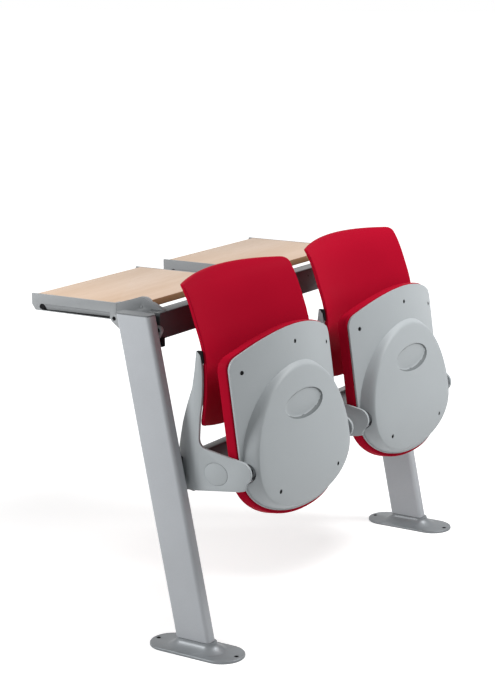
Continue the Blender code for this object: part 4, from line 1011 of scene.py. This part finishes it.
# Studio

def seen_by_eye(tree):
    """1 for rays that show the studio itself, 0 for rays that light the bench."""
    path = add_node(tree, "ShaderNodeLightPath")
    eye = math_node(tree, "MAXIMUM", path.outputs["Is Camera Ray"], path.outputs["Is Glossy Ray"])
    return math_node(tree, "MAXIMUM", eye, path.outputs["Is Transmission Ray"])


def add_floor(studio):
    """Pale floor that stays white in the picture except for the bench's shadow."""
    body = bmesh.new()
    bmesh.ops.create_grid(body, x_segments=1, y_segments=1, size=studio.floor_reach)
    floor = loose_object("floor", body)
    material, tree, shader = new_material("floor_white")
    place = add_node(tree, "ShaderNodeNewGeometry").outputs["Position"]
    distance = add_node(tree, "ShaderNodeVectorMath", {0: place}, operation="LENGTH").outputs["Value"]
    lift = spread(tree, distance, studio.floor_lift, 1.0, (studio.lift_start, studio.lift_end))
    fill_inputs(tree, shader, {
        "Base Color": (0.9, 0.9, 0.9, 1.0),
        "Roughness": 0.9,
        "Specular IOR Level": 0.0,
        "Emission Color": WHITE,
        "Emission Strength": math_node(tree, "MULTIPLY", seen_by_eye(tree), lift)})
    floor.data.materials.append(material)


def add_lamp(name, place, size, power):
    """Square soft lamp that looks at the middle of the bench."""
    lamp = bpy.data.lights.new(name, "AREA")
    lamp.size = size
    lamp.energy = power
    holder = bpy.data.objects.new(name, lamp)
    holder.location = place
    holder.visible_camera = False
    target = (CAD_BOX[0] + CAD_BOX[1]) / 2
    holder.rotation_euler = (target - holder.location).to_track_quat("-Z", "Y").to_euler()
    bpy.context.scene.collection.objects.link(holder)


def set_sky(scene, studio):
    """White surroundings for the eye and a softer light for the bench."""
    sky = bpy.data.worlds.new("studio_sky")
    sky.use_nodes = True
    scene.world = sky
    tree = sky.node_tree
    strength = spread(tree, seen_by_eye(tree), studio.sky, 1.0, (0.0, 1.0))
    fill_inputs(tree, tree.nodes["Background"], {"Color": WHITE, "Strength": strength})


def add_camera(scene, studio):
    """Camera at the photograph's viewing angle."""
    turn = Matrix.Rotation(studio.azimuth, 4, "Z")
    turn @= Matrix.Rotation(math.pi / 2 - studio.elevation, 4, "X")
    turn @= Matrix.Rotation(studio.roll, 4, "Z")
    lens = bpy.data.cameras.new("photo_camera")
    lens.sensor_width = SENSOR
    lens.lens = FOCAL_PIXELS * SENSOR / IMAGE_HEIGHT
    camera = bpy.data.objects.new("photo_camera", lens)
    place = Vector(studio.camera) + Vector((0, ROW_Y, 0))
    camera.matrix_world = Matrix.Translation(place) @ turn
    scene.collection.objects.link(camera)
    scene.camera = camera


# Operators

class BENCH_OT_dress_frame(Operator):
    """Give the beams, brackets and bolts their finishes and soft edges, and close the beam."""
    bl_idname = "bench.dress_frame"
    bl_label = "Dress the frame"

    def execute(self, context):
        edges = context.scene.bench_edges
        dress(charcoal_paint(), edges.fine, "upper_beam", "lower_beam")
        for side, sign in SIDES:
            # The silver brackets take the darker grey as painted shade
            dress(grey_and_bracket_shade_paint(), edges.casting, f"{side}_beam_bracket")
            dress(black_plastic(), edges.fine, f"{side}_front_bolt", f"{side}_rear_bolt")
            dress(black_plastic(), edges.desk, f"{side}_end_block")
            plug = beam_plug_body(context.scene.bench_leg, sign)
            add_piece(f"{side}_beam_plug", plug, charcoal_paint(), "frame")
        return {"FINISHED"}


class BENCH_OT_build_legs(Operator):
    """Model the legs and their top plates with rounded corners."""
    bl_idname = "bench.build_legs"
    bl_label = "Build the legs"

    def execute(self, context):
        for side, _ in SIDES:
            leg, plate = leg_bodies(context.scene.bench_leg, f"{side}_leg")
            add_piece(f"{side}_leg_profile", leg, silver_paint(), "frame", [f"{side}_leg"])
            # The plate on top takes the grey darkened as painted shade
            add_piece(f"{side}_leg_plate", plate, shaded_grey_paint(), "frame",
                      [f"{side}_leg_cap"])
        return {"FINISHED"}


class BENCH_OT_build_feet(Operator):
    """Model the feet with smooth run-outs and rounded rims, and their anchors."""
    bl_idname = "bench.build_feet"
    bl_label = "Build the feet"

    def execute(self, context):
        for side, _ in SIDES:
            low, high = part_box(f"{side}_foot")
            place = Matrix.Translation(((low.x + high.x) / 2, ROW_Y, 0.0))
            body = foot_body(context.scene.bench_foot)
            # The feet take the legs' silver, glossier and darkened as painted shade
            add_piece(f"{side}_foot_casting", body, shaded_foot_metal(), "frame", [f"{side}_foot"],
                      place)
            anchors = anchor_body(context.scene.bench_foot)
            add_piece(f"{side}_foot_anchors", anchors, black_plastic(), "frame", (), place)
        return {"FINISHED"}


class BENCH_OT_dress_desks(Operator):
    """Give the writing tops, arms and hinges finishes and soft edges, and paint shade into the arms' side
    slots with black pieces.
    """
    bl_idname = "bench.dress_desks"
    bl_label = "Dress the writing tops"

    def execute(self, context):
        edges = context.scene.bench_edges
        for place in PLACES:
            desk, axis = f"desk_{place}", JOINTS[f"desk_{place}_fold"]
            dress(maple_veneer(), edges.desk, f"{desk}_top")
            for name, side in SIDES:
                prefix = f"{desk}_{name}"
                dress(grey_and_bracket_shade_paint(), edges.desk, f"{prefix}_arm")
                # The hinges and their pins take the grey darkened as painted shade
                dress(shaded_grey_paint(), edges.desk, f"{prefix}_hinge")
                dress(shaded_grey_paint(), edges.pin, f"{prefix}_hinge_pin")
                low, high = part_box(f"{prefix}_arm")
                # The strip and the round plug are black pieces that paint shade into the side slot
                strip, plug = slot_shade_filling(context.scene.bench_desk, side, low, high, axis)
                add_piece(f"{prefix}_slot_shade_strip", strip, black_plastic(), desk)
                add_piece(f"{prefix}_slot_shade_plug", plug, black_plastic(), desk)
        return {"FINISHED"}


class BENCH_OT_dress_arms(Operator):
    """Give the chair arms, covers, clamps and pivots their finishes and soft edges."""
    bl_idname = "bench.dress_arms"
    bl_label = "Dress the chair arms"

    def execute(self, context):
        edges = context.scene.bench_edges
        for place in PLACES:
            for side, _ in SIDES:
                prefix = f"chair_{place}_{side}"
                dress(grey_plastic(), edges.arm, f"{prefix}_arm")
                dress(grey_plastic(), edges.fine, f"{prefix}_arm_cap")
                dress(charcoal_paint(), edges.casting, f"{prefix}_clamp")
                dress(bright_steel(), edges.fine, f"{prefix}_axle")
                dress(grey_plastic(), edges.bearing, f"{prefix}_hinge_block")
            dress(bright_steel(), edges.spring, f"chair_{place}_spring")
        return {"FINISHED"}


class BENCH_OT_build_backs(Operator):
    """Model the curved back shells and the dark wedges beside them."""
    bl_idname = "bench.build_backs"
    bl_label = "Build the backs"

    def execute(self, context):
        sizes = context.scene.bench_back
        for number in PLACES:
            axis = JOINTS[f"seat_{number}_tip"]
            add_piece(f"back_{number}", back_body(sizes), red_plastic(), "frame",
                      [f"chair_{number}_back"], Matrix.Translation(axis))
            for name, side in SIDES:
                dark_wedge = dark_wedge_body(sizes, f"chair_{number}_{name}_arm", side, axis)
                add_piece(f"back_{number}_{name}_pad", dark_wedge, black_plastic(), "frame")
        return {"FINISHED"}


class BENCH_OT_build_seats(Operator):
    """Model the upper shells and under-shells of the seats, with their screws."""
    bl_idname = "bench.build_seats"
    bl_label = "Build the seats"

    def execute(self, context):
        sizes, bulge = context.scene.bench_seat, context.scene.bench_bulge
        fold = Matrix.Rotation(-(math.pi / 2 + sizes.fold_lean), 4, "X")
        for number in PLACES:
            place = Matrix.Translation(JOINTS[f"seat_{number}_tip"]) @ fold
            rider, chair = f"seat_{number}", f"chair_{number}"
            add_piece(f"seat_{number}_upper_shell", upper_shell_body(sizes, bulge), red_plastic(), rider,
                      [f"{chair}_seat_top"], place)
            shell = add_piece(f"seat_{number}_under_shell", under_shell_body(sizes, bulge), grey_plastic(),
                              rider, [f"{chair}_seat_shell"], place)
            # Second finish: painted shade on the wall of the finger recess
            shell.data.materials.append(recess_shade_plastic())
            screws = seat_screws_body(sizes, bulge)
            add_piece(f"seat_{number}_screws", screws, black_plastic(), rider, (), place)
        return {"FINISHED"}


class BENCH_OT_set_stage(Operator):
    """Set the floor, the lamps, the sky and the camera."""
    bl_idname = "bench.set_stage"
    bl_label = "Set the studio"

    def execute(self, context):
        studio = context.scene.bench_studio
        context.scene.view_settings.view_transform = "Standard"
        add_floor(studio)
        add_lamp("key", studio.key_place, studio.key_size, studio.key_power)
        add_lamp("side", studio.side_place, studio.side_size, studio.side_power)
        set_sky(context.scene, studio)
        add_camera(context.scene, studio)
        return {"FINISHED"}


class BENCH_PT_dressing(Panel):
    """Sidebar panel with the operators and their settings."""
    bl_idname = "BENCH_PT_dressing"
    bl_label = "Lecture bench"
    bl_space_type = "VIEW_3D"
    bl_region_type = "UI"
    bl_category = "Bench"

    def draw(self, context):
        for operator in OPERATORS:
            self.layout.operator(operator.bl_idname)
        for name in GROUPS:
            settings = getattr(context.scene, name)
            box = self.layout.box()
            for field in settings.__annotations__:
                box.prop(settings, field, text=field.replace("_", " ").capitalize())


GROUPS = {
    "bench_back": BackSizes,
    "bench_seat": SeatSizes,
    "bench_bulge": BulgeSizes,
    "bench_foot": FootSizes,
    "bench_leg": LegSizes,
    "bench_desk": DeskSizes,
    "bench_edges": EdgeSizes,
    "bench_finishes": Finishes,
    "bench_studio": StudioSettings,
}
OPERATORS = (
    BENCH_OT_dress_frame,
    BENCH_OT_build_legs,
    BENCH_OT_build_feet,
    BENCH_OT_dress_desks,
    BENCH_OT_dress_arms,
    BENCH_OT_build_backs,
    BENCH_OT_build_seats,
    BENCH_OT_set_stage,
)


def register():
    """Register the settings, the operators and the panel."""
    for name, group in GROUPS.items():
        bpy.utils.register_class(group)
        setattr(bpy.types.Scene, name, PointerProperty(type=group))
    for operator in OPERATORS:
        bpy.utils.register_class(operator)
    bpy.utils.register_class(BENCH_PT_dressing)


def unregister():
    """Take everything back out."""
    bpy.utils.unregister_class(BENCH_PT_dressing)
    for operator in reversed(OPERATORS):
        bpy.utils.unregister_class(operator)
    for name, group in GROUPS.items():
        delattr(bpy.types.Scene, name)
        bpy.utils.unregister_class(group)


def main():
    """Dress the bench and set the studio."""
    register()
    bpy.ops.bench.dress_frame()
    bpy.ops.bench.build_legs()
    bpy.ops.bench.build_feet()
    bpy.ops.bench.dress_desks()
    bpy.ops.bench.dress_arms()
    bpy.ops.bench.build_backs()
    bpy.ops.bench.build_seats()
    bpy.ops.bench.set_stage()


if __name__ == "__main__":
    main()
